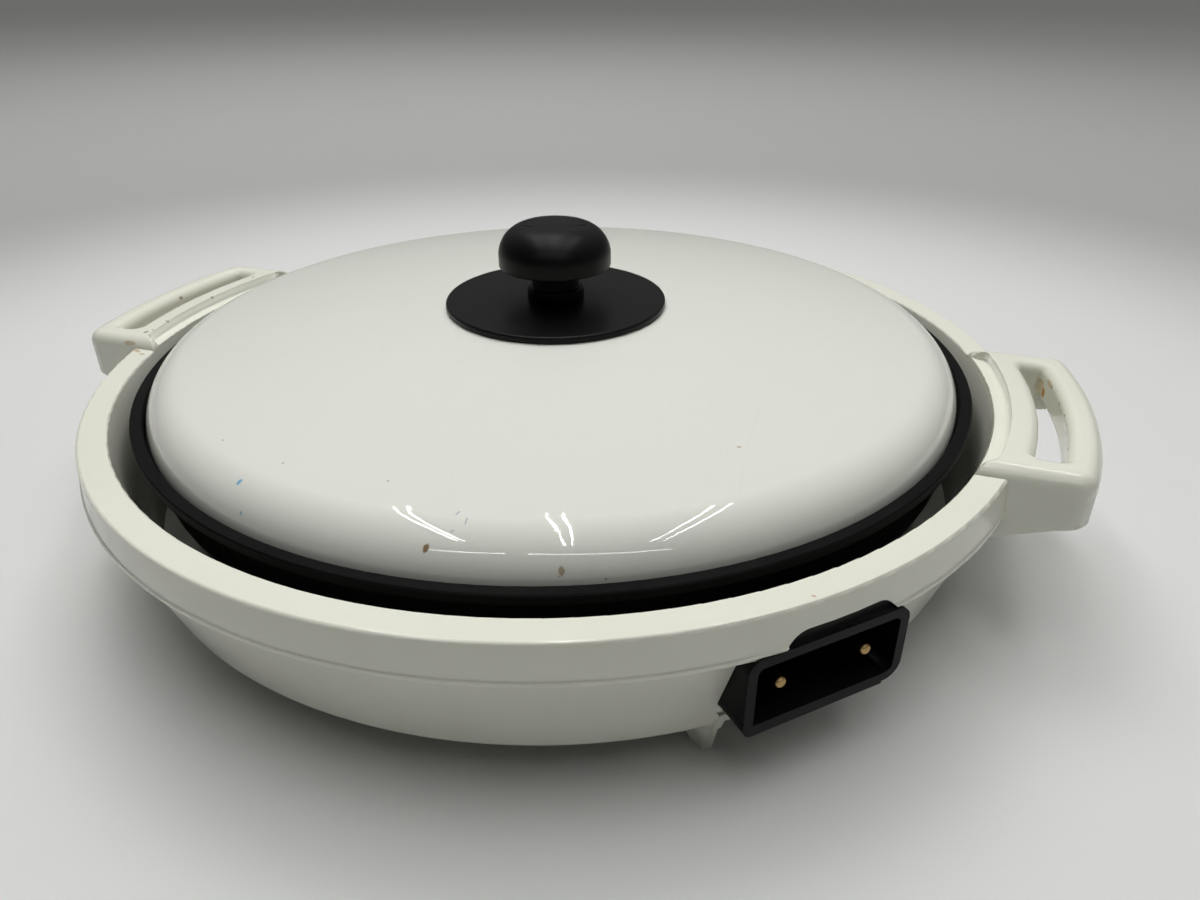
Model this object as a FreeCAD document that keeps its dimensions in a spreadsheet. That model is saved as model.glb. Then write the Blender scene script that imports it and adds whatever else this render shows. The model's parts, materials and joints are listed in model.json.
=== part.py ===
import FreeCAD, Part
import math
import os

import Sketcher
from FreeCAD import Placement, Rotation, Vector

# Electric pizza maker with a lift-off lid. Millimetres, Z up, the table is at z = 0.
# The Z axis runs through the middle of the pan, the handles lie along X, the inlet points to -45 degrees.

# Driving dimensions. What seats on or lines up with another piece is derived from these further down.
dimensions = {
    # Heights of the body, stacked from the table up
    "base_under": 12.9,  # underside above the table
    "base_height": 43.1,  # underside to the band's lower edge
    "band_height": 14.5,  # band's lower edge to the flat rim
    # Rim and liner moulding
    "rim_outer_radius": 201.3,
    "rim_width": 11.3,
    "rim_round": 1.4,  # outer edge of the flat rim
    "rim_inner_round": 0.8,
    "rim_plate": 2.4,  # thickness of the flat rim
    "band_flare": 1.0,  # band's lower edge outside the rim
    "band_wall": 2.0,
    "lip_depth": 1.2,  # raised line along the band's lower edge, height
    "lip_proud": 0.6,
    "liner_wall": 2.2,
    "liner_mid_inset": 5.2,  # inner wall at the inlet's middle, from the rim's inner edge
    "liner_low_inset": 9.0,  # the same wall at its foot
    "liner_flange": 2.2,  # thickness of the flange on the floor
    "liner_flange_reach": 11.0,  # flange beyond its screws
    "liner_screw_inset": 18.0,
    "liner_screw_count": 6,
    "joggle_drop": 3.3,  # how far the rim is lowered under a handle
    "liner_boss_radius": 4.0,
    "liner_boss_rise": 7.0,
    # Base shell
    "base_set_back": 2.4,  # side's upper edge inside the band
    "base_lean": 14.7,  # how far the side leans in on its way down
    "base_corner": 4.5,
    "base_wall": 2.6,
    "base_floor": 2.6,
    "tongue_wall": 2.0,  # upstand inside the band
    "tongue_rise": 8.4,
    "tongue_gap_inset": 19.0,  # upstand's gap at a handle, shorter than the handle by this at each end
    "tongue_step": 0.9,  # what is left of the upstand in that gap
    "rib_inset": 7.0,  # outer rib inside the reflector's edge
    "inner_rib_radius": 50.0,
    "rib_wall": 2.0,
    "rib_rise": 1.3,
    "slot_inner": 58.0,
    "slot_inset": 14.0,  # slots' outer ends inside the heating ring
    "slot_width": 6.0,
    "slot_count": 12,
    # Fin feet
    "foot_azimuth": 53.5,
    "foot_turn": 45.0,  # direction of the fin's plane
    "foot_proud": 0.6,  # front edge outside the side's lower edge
    "foot_front_width": 3.5,
    "foot_back_width": 15.0,
    "foot_depth": 15.6,
    "foot_tip_set_back": 3.5,
    "foot_tip_depth": 6.3,
    "foot_tip_width": 6.0,
    "ridge_rise": 9.6,  # height of the fin's ridge up the side
    "ridge_proud": 1.9,
    # Handles, as a chain outwards from the rim
    "handle_wall": 5.2,  # from the rim's outer edge to the finger slot
    "grip_slot_width": 10.0,
    "bar_width": 12.5,
    "handle_half": 57.0,  # half length along Y
    "slot_end": 13.0,  # length of the block at each end of the slot
    "saddle_set_back": 0.2,  # saddle's edge from the rim's inner edge
    "handle_rise": 4.5,  # top above the rim
    "handle_corner": 8.5,
    "handle_edge": 6.0,  # rounding of the top edge
    "ledge_set_back": 5.3,
    "ledge_end": 5.0,
    "ledge_rise": 0.5,  # ledge floor above the rim
    "ledge_corner": 5.0,
    "grip_slot_corner": 3.0,
    "bar_drop": 12.5,  # bar's underside below the rim
    "bar_edge": 4.5,  # rounding of the slot's edges
    "gusset_outer_drop": 15.0,
    "gusset_flat": 2.0,
    "gusset_mid_drop": 18.0,
    "gusset_mid_reach": 10.7,
    "gusset_inner_drop": 25.5,
    "handle_screw_inset": 3.9,
    "handle_screw_end": 27.0,
    # Pan
    "pan_room": 13.0,  # pan's underside above the floor
    "pan_top_rise": 1.4,  # flange top above the rim
    "pan_gap": 7.9,  # between the flange and the rim
    "pan_flange_width": 4.9,
    "pan_flange_reach": 3.3,  # flange beyond the wall
    "pan_flange_thick": 3.5,
    "pan_flange_bevel": 0.5,
    "pan_ledge_drop": 4.5,  # ledge for the lid below the flange top
    "pan_draft": 0.19,
    "pan_floor": 4.0,
    "pan_wall": 4.4,
    "pan_corner": 28.0,
    "pan_inner_corner": 24.0,
    "pan_boss_radius": 7.0,
    "pan_boss_drop": 4.0,
    "pan_boss_inset": 33.0,  # bosses inside the heating ring
    "pan_boss_count": 4,
    # Lid, disc and knob
    "lid_side_gap": 1.0,
    "lid_skirt": 0.6941,  # upright edge below the shoulder
    "lid_crown_radius": 1240.0,
    "lid_shoulder": 17.0,
    "lid_sheet": 1.0,
    "disc_radius": 49.3,
    "disc_thick": 3.0,
    "disc_recess": 1.2,
    "disc_edge_wall": 2.5,
    "disc_bevel": 0.6,
    "knob_radius": 24.8,
    "knob_stem_radius": 12.7,
    "knob_stem_rise": 5.4,
    "knob_stem_round": 0.8,
    "knob_neck_radius": 10.5,
    "knob_throat": 4.0,  # hollow where the neck meets the head
    "knob_lip_rise": 15.0,  # lip of the head above the disc
    "knob_lip_bevel": 0.5,
    "knob_side_rise": 20.8,
    "knob_top_rise": 33.9,
    "knob_head_arc": 13.7,
    "knob_flat_radius": 12.0,
    "knob_flat_drop": 0.8,
    "knob_screw_radius": 2.0,
    "knob_screw_depth": 14.0,
    "knob_washer_radius": 9.0,
    "knob_washer_thick": 1.2,
    # Inlet, in its own frame: depth along the outward direction, then width and height
    "inlet_azimuth": -45.0,
    "inlet_proud": 0.7,  # front beyond the rim
    "inlet_rear_inset": 5.8,  # rear edge inside the liner's wall
    "inlet_half": 30.6,
    "inlet_rise": 0.3,  # top above the band's lower edge
    "inlet_height": 29.1,
    "inlet_corner": 5.0,
    "inlet_low_corner": 6.5,
    "inlet_wall": 3.5,
    "inlet_plate_proud": 0.7,  # front of the rear plate beyond the liner's wall
    "inlet_plate": 2.5,
    "inlet_cavity_corner": 2.5,
    "inlet_flange": 2.0,
    "inlet_flange_reach": 3.6,  # above and below the box
    "inlet_flange_margin": 4.7,  # beyond the screws
    "hump_left": 19.6,  # foot of the hump to the left of the inlet's middle
    "hump_right": 28.6,
    "hump_crest_left": 13.3,
    "hump_crest_right": 19.7,
    "hump_rise": 5.3,
    "hump_root": 3.0,
    "hump_set_back": 1.8,
    "hump_thick": 3.0,
    "hump_shoulder": 8.0,
    "cover_end": 23.6,  # where the lower strip stops
    "cover_proud": 0.9,
    "cover_start": 1.5,  # rear edge of the strip in front of the rear plate
    "cover_rise": 5.8,  # seam on the left side above the inlet's bottom
    "cover_corner": 3.8,
    "peg_radius": 0.9,
    "peg_length": 3.2,
    "peg_inset": 4.5,
    "pin_radius": 2.0,
    "pin_root_radius": 1.6,  # inside the bead
    "pin_half": 16.4,  # half the distance between the pins
    "pin_set_back": 1.5,  # tip behind the front
    "pin_round": 1.2,
    "bead_radius": 3.2,
    "bead_proud": 1.0,
    "probe_bore_radius": 3.45,
    "probe_sleeve_radius": 4.8,
    "probe_sleeve_length": 10.7,
    # Element under the pan
    "sheath_radius": 3.3,
    "ring_inset": 25.2,  # ring inside the edge of the pan's flat underside
    "leg_bend": 12.0,  # from the ring into a leg
    "rise_bend": 8.0,  # at both ends of a leg's rise
    "leg_end": 1.4,  # straight end of a leg behind the bead
    "strap_thick": 1.5,
    "strap_width": 12.0,
    "strap_ear": 14.0,
    "strap_count": 4,
    # Reflector and spacers
    "reflector_inset": 6.0,
    "reflector_thick": 0.8,
    "spacer_radius": 5.0,
    "spacer_wall": 2.0,
    # Screws
    "small_screw_radius": 1.5,
    "small_head_radius": 3.3,
    "small_head": 2.2,
    "large_screw_radius": 2.0,
    "large_head_radius": 4.2,
    "large_head": 2.6,
    "inlet_screw_half": 35.0,
    "inlet_screw_way": 20.0,
    "inlet_screw_length": 9.0,
    "hole_skin": 1.0,  # material left beyond a blind hole
    "tip_room": 0.5,  # between a screw's tip and the end of its hole
    # Clearances
    "seat_gap": 0.3,  # between pieces that rest on each other
    "side_gap": 0.3,  # between pieces beside each other
    "window_gap": 0.25,  # round the inlet in its window
    "slip": 0.2,  # round a screw or tube in its hole
    "pilot_fit": 0.05,  # round a screw where it holds
    "lid_gap": 0.3,  # lid above its ledge
    "heat_gap": 0.4,  # sheath below the pan
    # Construction
    "over": 1.0,  # how far a cut runs past the surface that it leaves
    "merge": 0.5,  # how far an added feature starts inside its carrier
    "margin": 30.0,  # how far the cutting tools reach past the object
}

doc = FreeCAD.newDocument("pizza_maker")
sheet = doc.addObject("Spreadsheet::Sheet", "Sizes")
for row, (alias, number) in enumerate(dimensions.items(), 1):
    sheet.set(f"A{row}", alias.replace("_", " "))
    sheet.set(f"B{row}", str(number))
    sheet.setAlias(f"B{row}", alias)
doc.recompute()


class Size:
    """A number together with the sheet expression that gives it, so that both stay in step."""

    def __init__(self, number, text):
        self.number = number
        self.text = text

    def __add__(self, other):
        other = sized(other)
        return Size(self.number + other.number, f"({self.text} + {other.text})")

    def __sub__(self, other):
        other = sized(other)
        return Size(self.number - other.number, f"({self.text} - {other.text})")

    def __mul__(self, other):
        other = sized(other)
        return Size(self.number * other.number, f"({self.text} * {other.text})")

    def __truediv__(self, other):
        other = sized(other)
        return Size(self.number / other.number, f"({self.text} / {other.text})")

    def __neg__(self):
        return Size(-self.number, f"(-1 * {self.text})")

    def __radd__(self, other):
        return sized(other) + self

    def __rsub__(self, other):
        return sized(other) - self

    def __rmul__(self, other):
        return sized(other) * self

    def __float__(self):
        return float(self.number)


def sized(value):
    return value if isinstance(value, Size) else Size(value, f"{value:.6f}")


def sine(angle):
    angle = sized(angle)
    return Size(math.sin(math.radians(angle.number)), f"sin({angle.text})")


def cosine(angle):
    angle = sized(angle)
    return Size(math.cos(math.radians(angle.number)), f"cos({angle.text})")


def root(value):
    value = sized(value)
    return Size(math.sqrt(value.number), f"sqrt({value.text})")


def across(radius, offset):
    """Distance from the centre line at which a circle of this radius is offset sideways by offset."""
    return root(radius * radius - offset * offset)


class Dimensions:
    pass


d = Dimensions()
for alias in dimensions:
    setattr(d, alias, Size(float(sheet.get(alias)), f"Sizes.{alias}"))

# Body, from the rim inwards and downwards
d.band_bottom = d.base_under + d.base_height
d.rim_top = d.band_bottom + d.band_height
d.rim_inner_radius = d.rim_outer_radius - d.rim_width
d.band_radius = d.rim_outer_radius + d.band_flare
d.liner_mid_radius = d.rim_inner_radius - d.liner_mid_inset
d.liner_low_radius = d.rim_inner_radius - d.liner_low_inset
d.liner_screw_place = d.liner_low_radius - d.liner_screw_inset
d.liner_flange_inner = d.liner_screw_place - d.liner_flange_reach
d.reflector_radius = d.liner_flange_inner - d.reflector_inset
d.rib_radius = d.reflector_radius - d.rib_inset
d.base_top_radius = d.band_radius - d.base_set_back
d.base_low_radius = d.base_top_radius - d.base_lean
d.foot_radius = d.base_low_radius + d.foot_proud
d.tongue_top = d.band_bottom + d.tongue_rise
# Handles
d.handle_saddle_radius = d.rim_inner_radius + d.saddle_set_back
d.handle_inner_wall = d.rim_outer_radius - d.side_gap
d.grip_slot_inner = d.rim_outer_radius + d.handle_wall
d.grip_slot_outer = d.grip_slot_inner + d.grip_slot_width
d.handle_outer_radius = d.grip_slot_outer + d.bar_width
d.grip_slot_half = d.handle_half - d.slot_end
d.tongue_gap_half = d.handle_half - d.tongue_gap_inset
d.ledge_radius = d.rim_outer_radius - d.ledge_set_back
d.ledge_half = d.handle_half - d.ledge_end
d.handle_screw_radius = d.rim_outer_radius - d.handle_screw_inset
d.handle_screw_half = d.handle_half - d.handle_screw_end
# Pan, lid and what hangs below the pan
d.pan_flange_radius = d.rim_inner_radius - d.pan_gap
d.pan_flange_inner = d.pan_flange_radius - d.pan_flange_width
d.pan_wall_radius = d.pan_flange_radius - d.pan_flange_reach
d.lid_radius = d.pan_flange_inner - d.lid_side_gap
# Inlet
d.inlet_front = d.rim_outer_radius + d.inlet_proud
d.inlet_rear = d.liner_mid_radius - d.inlet_rear_inset
d.inlet_plate_front = d.liner_mid_radius + d.inlet_plate_proud
d.inlet_top = d.band_bottom + d.inlet_rise
d.inlet_bottom = d.inlet_top - d.inlet_height
d.pin_height = d.inlet_top - d.inlet_height / 2
d.pin_tip = d.inlet_front - d.pin_set_back
d.liner_mid_height = d.pin_height
d.cover_rear = d.inlet_plate_front + d.cover_start
d.hump_top = d.inlet_top + d.hump_rise
d.hump_front = d.inlet_front - d.hump_set_back


def bind(item, place, value):
    item.setExpression(place, sized(value).text)


def new_body(name, turn=0.0):
    item = doc.addObject("PartDesign::Body", name)
    item.Label = name
    if turn:
        item.Placement = Placement(Vector(), Rotation(Vector(0, 0, 1), float(turn)))
        bind(item, "Placement.Rotation.Angle", turn)
    return item


def place_sketch(item, name, plane, turn=None, shift=None):
    """A sketch on one of the body's own planes, turned about the upright axis or moved off the plane."""
    drawing = item.newObject("Sketcher::SketchObject", name)
    origin = next(feature for feature in item.Origin.OriginFeatures if feature.Role == plane)
    drawing.AttachmentSupport = (origin, [""])
    drawing.MapMode = "FlatFace"
    if turn is not None:
        angle = float(sized(turn).number)
        drawing.AttachmentOffset = Placement(Vector(), Rotation(Vector(0, 1, 0), angle))
        bind(drawing, "AttachmentOffset.Rotation.Angle", turn)
    if shift is not None:
        drawing.AttachmentOffset = Placement(Vector(0, 0, float(sized(shift).number)), Rotation())
        bind(drawing, "AttachmentOffset.Base.z", shift)
    return drawing


def fix_point(drawing, geometry, end, x, y):
    for kind, value in (("DistanceX", sized(x)), ("DistanceY", sized(y))):
        number = drawing.addConstraint(Sketcher.Constraint(kind, -1, 1, geometry, end, value.number))
        drawing.setExpression(f"Constraints[{number}]", value.text)


def outline_sketch(item, name, plane, corners, arcs=None, axis=None, turn=None, shift=None):
    """A closed outline through the corners. arcs gives a radius to the side that starts at a corner:
    positive when the arc turns left on its way, negative when it turns right.
    axis is a construction line."""
    drawing = place_sketch(item, name, plane, turn, shift)
    arcs = arcs or {}
    points = [Vector(sized(x).number, sized(y).number, 0) for x, y in corners]
    count = len(points)
    ends = []
    for index in range(count):
        start = points[index]
        stop = points[(index + 1) % count]
        if index not in arcs:
            drawing.addGeometry(Part.LineSegment(start, stop), False)
            ends.append((1, 2))
            continue
        radius = sized(arcs[index]).number
        chord = stop - start
        side = Vector(-chord.y, chord.x, 0).normalize()
        if radius < 0:
            side = side * -1
        reach = math.sqrt(radius * radius - chord.Length * chord.Length / 4)
        centre = (start + stop) * 0.5 + side * reach
        first, last = (start, stop) if radius > 0 else (stop, start)
        begin = math.atan2(first.y - centre.y, first.x - centre.x)
        finish = math.atan2(last.y - centre.y, last.x - centre.x)
        circle = Part.Circle(centre, Vector(0, 0, 1), abs(radius))
        drawing.addGeometry(Part.ArcOfCircle(circle, begin, finish), False)
        ends.append((1, 2) if radius > 0 else (2, 1))
    for index in range(count):
        after = (index + 1) % count
        drawing.addConstraint(
            Sketcher.Constraint("Coincident", index, ends[index][1], after, ends[after][0]))
        fix_point(drawing, index, ends[index][0], *corners[index])
    for index, radius in arcs.items():
        size = sized(radius)
        number = drawing.addConstraint(Sketcher.Constraint("Radius", index, abs(size.number)))
        drawing.setExpression(f"Constraints[{number}]", f"abs({size.text})")
    if axis is not None:
        (x0, y0), (x1, y1) = axis
        line = Part.LineSegment(Vector(float(sized(x0)), float(sized(y0)), 0),
                                Vector(float(sized(x1)), float(sized(y1)), 0))
        number = drawing.addGeometry(line, True)
        fix_point(drawing, number, 1, x0, y0)
        fix_point(drawing, number, 2, x1, y1)
    return drawing


def circle_sketch(item, name, plane, circles, turn=None, shift=None):
    """Circles given as centre across, centre up and radius."""
    drawing = place_sketch(item, name, plane, turn, shift)
    for x, y, radius in circles:
        centre = Vector(float(sized(x)), float(sized(y)), 0)
        shape = Part.Circle(centre, Vector(0, 0, 1), float(sized(radius)))
        geometry = drawing.addGeometry(shape, False)
        number = drawing.addConstraint(Sketcher.Constraint("Radius", geometry, float(sized(radius))))
        drawing.setExpression(f"Constraints[{number}]", sized(radius).text)
        fix_point(drawing, geometry, 3, x, y)
    return drawing


def revolve(item, drawing, axis="V_Axis", angle=None, groove=False):
    """The sketch turned about its upright axis or its construction line."""
    kind = "PartDesign::Groove" if groove else "PartDesign::Revolution"
    feature = item.newObject(kind, drawing.Name + "_turned")
    feature.Profile = drawing
    feature.ReferenceAxis = (drawing, [axis])
    feature.Angle = 360.0
    if angle is not None:
        feature.Angle = float(sized(angle))
        feature.Midplane = True
        bind(feature, "Angle", angle)
    return feature


def pad(item, drawing, length, midplane=False, reverse=False):
    feature = item.newObject("PartDesign::Pad", drawing.Name + "_pad")
    feature.Profile = drawing
    feature.Length = float(sized(length))
    feature.Midplane = midplane
    feature.Reversed = reverse
    bind(feature, "Length", length)
    return feature


def pocket(item, drawing, length, midplane=False, reverse=False):
    """A cut from the sketch. It must take something away, or the run stops."""
    doc.recompute()
    before = item.Shape.Volume
    feature = item.newObject("PartDesign::Pocket", drawing.Name + "_cut")
    feature.Profile = drawing
    feature.Length = float(sized(length))
    feature.Midplane = midplane
    feature.Reversed = reverse
    bind(feature, "Length", length)
    doc.recompute()
    if item.Shape.Volume > before - 1.0:
        raise RuntimeError(f"{feature.Name} cuts nothing")
    return feature


def polar(item, originals, count):
    feature = item.newObject("PartDesign::PolarPattern", originals[0].Name + "_round")
    feature.Originals = originals
    upright = next(line for line in item.Origin.OriginFeatures if line.Role == "Z_Axis")
    feature.Axis = (upright, [""])
    feature.Angle = 360.0
    feature.Occurrences = int(float(sized(count)))
    bind(feature, "Occurrences", count)
    item.Tip = feature
    return feature


def mirrored(item, originals, plane):
    feature = item.newObject("PartDesign::Mirrored", originals[0].Name + "_mirror")
    feature.Originals = originals
    across_plane = next(face for face in item.Origin.OriginFeatures if face.Role == plane)
    feature.MirrorPlane = (across_plane, [""])
    item.Tip = feature
    return feature


def edges(item, test):
    """Names of the edges of the body's present shape whose middle and curve pass the test."""
    doc.recompute()
    names = []
    for number, edge in enumerate(item.Tip.Shape.Edges, 1):
        middle = edge.valueAt((edge.FirstParameter + edge.LastParameter) / 2)
        if test(edge, middle):
            names.append(f"Edge{number}")
    return names


def near(first, second):
    return abs(float(first) - float(second)) < 0.05


def upright(edge):
    return abs(edge.tangentAt(edge.FirstParameter).z) > 0.9


def ring_edges(item, radius, height):
    """Edges that run round the axis at this radius and height."""
    return edges(item, lambda edge, middle: near(math.hypot(middle.x, middle.y), radius)
                 and near(middle.z, height) and edge.Length > 10)


def rounded(item, names, radius):
    """A fillet on the present tip of the body."""
    if not names:
        raise RuntimeError(f"no edge to round on {item.Label}")
    base = item.Tip
    feature = item.newObject("PartDesign::Fillet", f"{item.Name}_round")
    feature.Base = (base, names)
    feature.Radius = float(sized(radius))
    bind(feature, "Radius", radius)
    doc.recompute()
    return feature


def box(name, x0, x1, y0, y1, z0, z1):
    item = doc.addObject("Part::Box", name)
    for place, value in (("Length", x1 - x0), ("Width", y1 - y0), ("Height", z1 - z0)):
        bind(item, place, value)
    for place, value in (("x", x0), ("y", y0), ("z", z0)):
        bind(item, f"Placement.Base.{place}", value)
    return item


def cylinder(name, radius, z0, z1, x=0, y=0):
    item = doc.addObject("Part::Cylinder", name)
    bind(item, "Radius", radius)
    bind(item, "Height", sized(z1) - z0)
    for place, value in (("x", x), ("y", y), ("z", z0)):
        bind(item, f"Placement.Base.{place}", value)
    return item


def cut(name, base, tool):
    item = doc.addObject("Part::Cut", name)
    item.Base = base
    item.Tool = tool
    return item


def common(name, first, second):
    item = doc.addObject("Part::Common", name)
    item.Base = first
    item.Tool = second
    return item


def fuse(name, *shapes):
    item = doc.addObject("Part::MultiFuse", name)
    item.Shapes = list(shapes)
    return item


def group(name, *shapes, turn=None):
    """Shapes kept as separate solids, turned together about the upright axis if asked."""
    item = doc.addObject("Part::Compound", name)
    item.Links = list(shapes)
    if turn is not None:
        item.Placement = Placement(Vector(), Rotation(Vector(0, 0, 1), float(turn)))
        bind(item, "Placement.Rotation.Angle", turn)
    return item


nodes = {}


def keep(name, item):
    item.Label = name
    nodes[name] = item


def liner_inside(height):
    """Radius of the liner's inner wall at a height below its middle line or above it."""
    high_slope = (d.rim_inner_radius - d.liner_mid_radius) / (d.rim_top - d.liner_mid_height)
    low_slope = (d.liner_mid_radius - d.liner_low_radius) / (d.liner_mid_height - liner_floor_top)
    slope = high_slope if float(sized(height)) > float(d.liner_mid_height) else low_slope
    return d.liner_mid_radius + (height - d.liner_mid_height) * slope


def base_outside(height):
    slope = (d.base_top_radius - d.base_low_radius) / (d.band_bottom - d.base_under)
    return d.base_low_radius + (height - d.base_under) * slope


base_floor_top = d.base_under + d.base_floor
liner_floor = base_floor_top + d.seat_gap
liner_floor_top = liner_floor + d.liner_flange
plate_under = d.rim_top - d.rim_plate
joggle_top = d.rim_top - d.joggle_drop
handle_top = d.rim_top + d.handle_rise
saddle_under = joggle_top + d.seat_gap
handle_hole_top = d.rim_top + d.ledge_rise - d.hole_skin
pan_top = d.rim_top + d.pan_top_rise
pan_ledge = pan_top - d.pan_ledge_drop
lid_shoulder_height = pan_ledge + d.lid_gap + d.lid_skirt
lid_fall = d.lid_crown_radius - across(d.lid_crown_radius - d.lid_shoulder, d.lid_radius - d.lid_shoulder)
lid_top = lid_shoulder_height + lid_fall
far = d.handle_outer_radius + d.margin  # beyond the whole object
d.pan_under = base_floor_top + d.pan_room
pan_flange_under = pan_top - d.pan_flange_thick


def pan_wall_at(height):
    """Outside radius of the pan's drafted wall."""
    return d.pan_wall_radius - (pan_flange_under - height) * d.pan_draft


d.ring_radius = pan_wall_at(d.pan_under) - d.pan_corner - d.ring_inset
d.pan_boss_place = d.ring_radius - d.pan_boss_inset
d.slot_outer = d.ring_radius - d.slot_inset


def make_notches():
    """The gaps in the rim at the two handles, as one tool: everything above the lowered plate."""
    outer = cylinder("notch_outer", far, joggle_top, handle_top)
    inner = cylinder("notch_inner", d.handle_saddle_radius - d.side_gap, joggle_top, handle_top)
    ring = cut("notch_ring", outer, inner)
    half = d.handle_half + d.side_gap
    slab = box("notch_slab", -far, far, -half, half, joggle_top, handle_top)
    above = common("notch_above", ring, slab)
    low = d.band_bottom - d.over
    skirt_outer = cylinder("skirt_outer", far, low, joggle_top)
    skirt_inside = d.rim_outer_radius - d.band_wall - d.side_gap
    skirt_inner = cylinder("skirt_inner", skirt_inside, low, joggle_top)
    skirt_ring = cut("skirt_ring", skirt_outer, skirt_inner)
    skirt_slab = box("skirt_slab", -far, far, -half, half, low, joggle_top)
    beside = common("notch_beside", skirt_ring, skirt_slab)
    return fuse("notches", above, beside)


def hump_outline(gap=0.0):
    """The arch over the inlet, lower on its right, and the same grown by a gap for its window."""
    gap = sized(gap)
    low = d.inlet_top - d.hump_root
    return [
        (-(d.hump_left + gap * 1.4), low),
        (d.hump_right + gap * 1.4, low),
        (d.hump_crest_right + gap / 2, d.hump_top + gap),
        (-(d.hump_crest_left + gap / 2), d.hump_top + gap),
    ]


def crest_edges(body, high):
    """The two edges at the ends of the hump's crest."""
    return edges(body, lambda edge, middle: near(middle.z, high) and edge.Length > float(d.hump_thick) - 0.1
                 and abs(edge.tangentAt(edge.FirstParameter).y) < 0.1)


def make_inlet_window():
    """The way through the walls for the inlet, and the arch for the hump above it."""
    gap = d.window_gap
    half = d.inlet_half + gap
    low = d.inlet_bottom - gap
    strip_low = low - d.cover_proud
    strip_end = d.cover_end + gap
    top = d.inlet_top + gap
    start = d.liner_low_radius - d.margin
    slot = new_body("inlet_slot")
    slot_face = outline_sketch(slot, "inlet_slot_face", "YZ_Plane", [
        (-half, strip_low),
        (strip_end, strip_low),
        (strip_end, low),
        (half, low),
        (half, top),
        (-half, top),
    ], shift=start)
    pad(slot, slot_face, far - start)
    names = edges(slot, lambda edge, middle: near(abs(middle.y), half) and near(middle.z, top))
    rounded(slot, names, d.inlet_corner + gap)
    names = edges(slot, lambda edge, middle: near(middle.y, half) and near(middle.z, low))
    rounded(slot, names, d.inlet_low_corner + gap)
    names = edges(slot, lambda edge, middle: near(middle.y, -half) and near(middle.z, strip_low))
    rounded(slot, names, d.cover_corner + gap)
    arch = new_body("inlet_arch")
    arch_start = d.liner_mid_radius + d.liner_wall * 3
    face = outline_sketch(arch, "arch_face", "YZ_Plane", hump_outline(gap), shift=arch_start)
    pad(arch, face, far - arch_start)
    rounded(arch, crest_edges(arch, d.hump_top + gap), d.hump_shoulder + gap)
    return group("inlet_window", fuse("inlet_opening", slot, arch), turn=d.inlet_azimuth)


def make_rim_liner(notches, window):
    """Rim, band, inner wall and floor flange, turned in one profile."""
    body = new_body("rim_profile")
    low_outer = d.liner_low_radius + d.liner_wall
    profile = outline_sketch(body, "rim_section", "XZ_Plane", [
        (d.liner_flange_inner, liner_floor),
        (low_outer, liner_floor),
        (d.liner_mid_radius + d.liner_wall, d.liner_mid_height),
        (d.rim_inner_radius + d.liner_wall, plate_under),
        (d.rim_outer_radius - d.band_wall, plate_under),
        (d.band_radius - d.band_wall, d.band_bottom),
        (d.band_radius + d.lip_proud, d.band_bottom),
        (d.band_radius + d.lip_proud, d.band_bottom + d.lip_depth),
        (d.band_radius, d.band_bottom + d.lip_depth + d.lip_proud / 2),
        (d.rim_outer_radius, d.rim_top - d.rim_round),
        (d.rim_outer_radius - d.rim_round, d.rim_top),
        (d.rim_inner_radius + d.rim_inner_round, d.rim_top),
        (d.rim_inner_radius, d.rim_top - d.rim_inner_round),
        (d.liner_mid_radius, d.liner_mid_height),
        (d.liner_low_radius, liner_floor_top),
        (d.liner_flange_inner, liner_floor_top),
    ], arcs={9: d.rim_round, 11: d.rim_inner_round})
    revolve(body, profile)
    lowered = new_body("lowered_plate")
    plate_section = outline_sketch(lowered, "lowered_section", "XZ_Plane", [
        (d.rim_inner_radius + d.liner_wall / 2, joggle_top - d.rim_plate),
        (d.handle_inner_wall - d.side_gap, joggle_top - d.rim_plate),
        (d.handle_inner_wall - d.side_gap, joggle_top),
        (d.rim_inner_radius + d.liner_wall / 2, joggle_top),
    ])
    revolve(lowered, plate_section)
    half = d.handle_half + d.side_gap + d.rim_plate
    plate_slab = box("plate_slab", -far, far, -half, half, joggle_top - d.rim_plate, joggle_top)
    plates = common("lowered_plates", lowered, plate_slab)
    opened = cut("rim_opened", body, notches)
    posts = liner_screw_pattern("liner_posts", d.liner_boss_radius, liner_floor,
                                d.liner_flange + d.liner_boss_rise)
    joined = fuse("rim_joined", opened, plates, posts)
    with_window = cut("rim_with_window", joined, window)
    holes = []
    for index, (x, y) in enumerate(handle_screw_places()):
        hole = cylinder(f"handle_hole_{index}", d.small_screw_radius + d.slip,
                        joggle_top - d.rim_plate - d.over, joggle_top + d.over, x, y)
        holes.append(hole)
    pilots = liner_screw_pattern("liner_pilots", d.small_screw_radius + d.pilot_fit, liner_floor - d.over,
                                 d.over + d.liner_flange + d.liner_boss_rise - d.hole_skin)
    liner = cut("liner_finished", with_window, fuse("rim_holes", make_inlet_screw_holes(), pilots, *holes))
    keep("rim_liner", liner)


def handle_screw_places():
    y = d.handle_screw_half
    x = across(d.handle_screw_radius, y)
    return [(x, y), (x, -y), (-x, y), (-x, -y)]


def liner_screw_pattern(name, radius, shift, height):
    """Upright rods at the liner's screws, used as posts and as holes."""
    body = new_body(name)
    face = circle_sketch(body, f"{name}_face", "XY_Plane", [(d.liner_screw_place, 0, radius)], shift=shift)
    rod = pad(body, face, height)
    polar(body, [rod], d.liner_screw_count)
    return body


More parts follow.
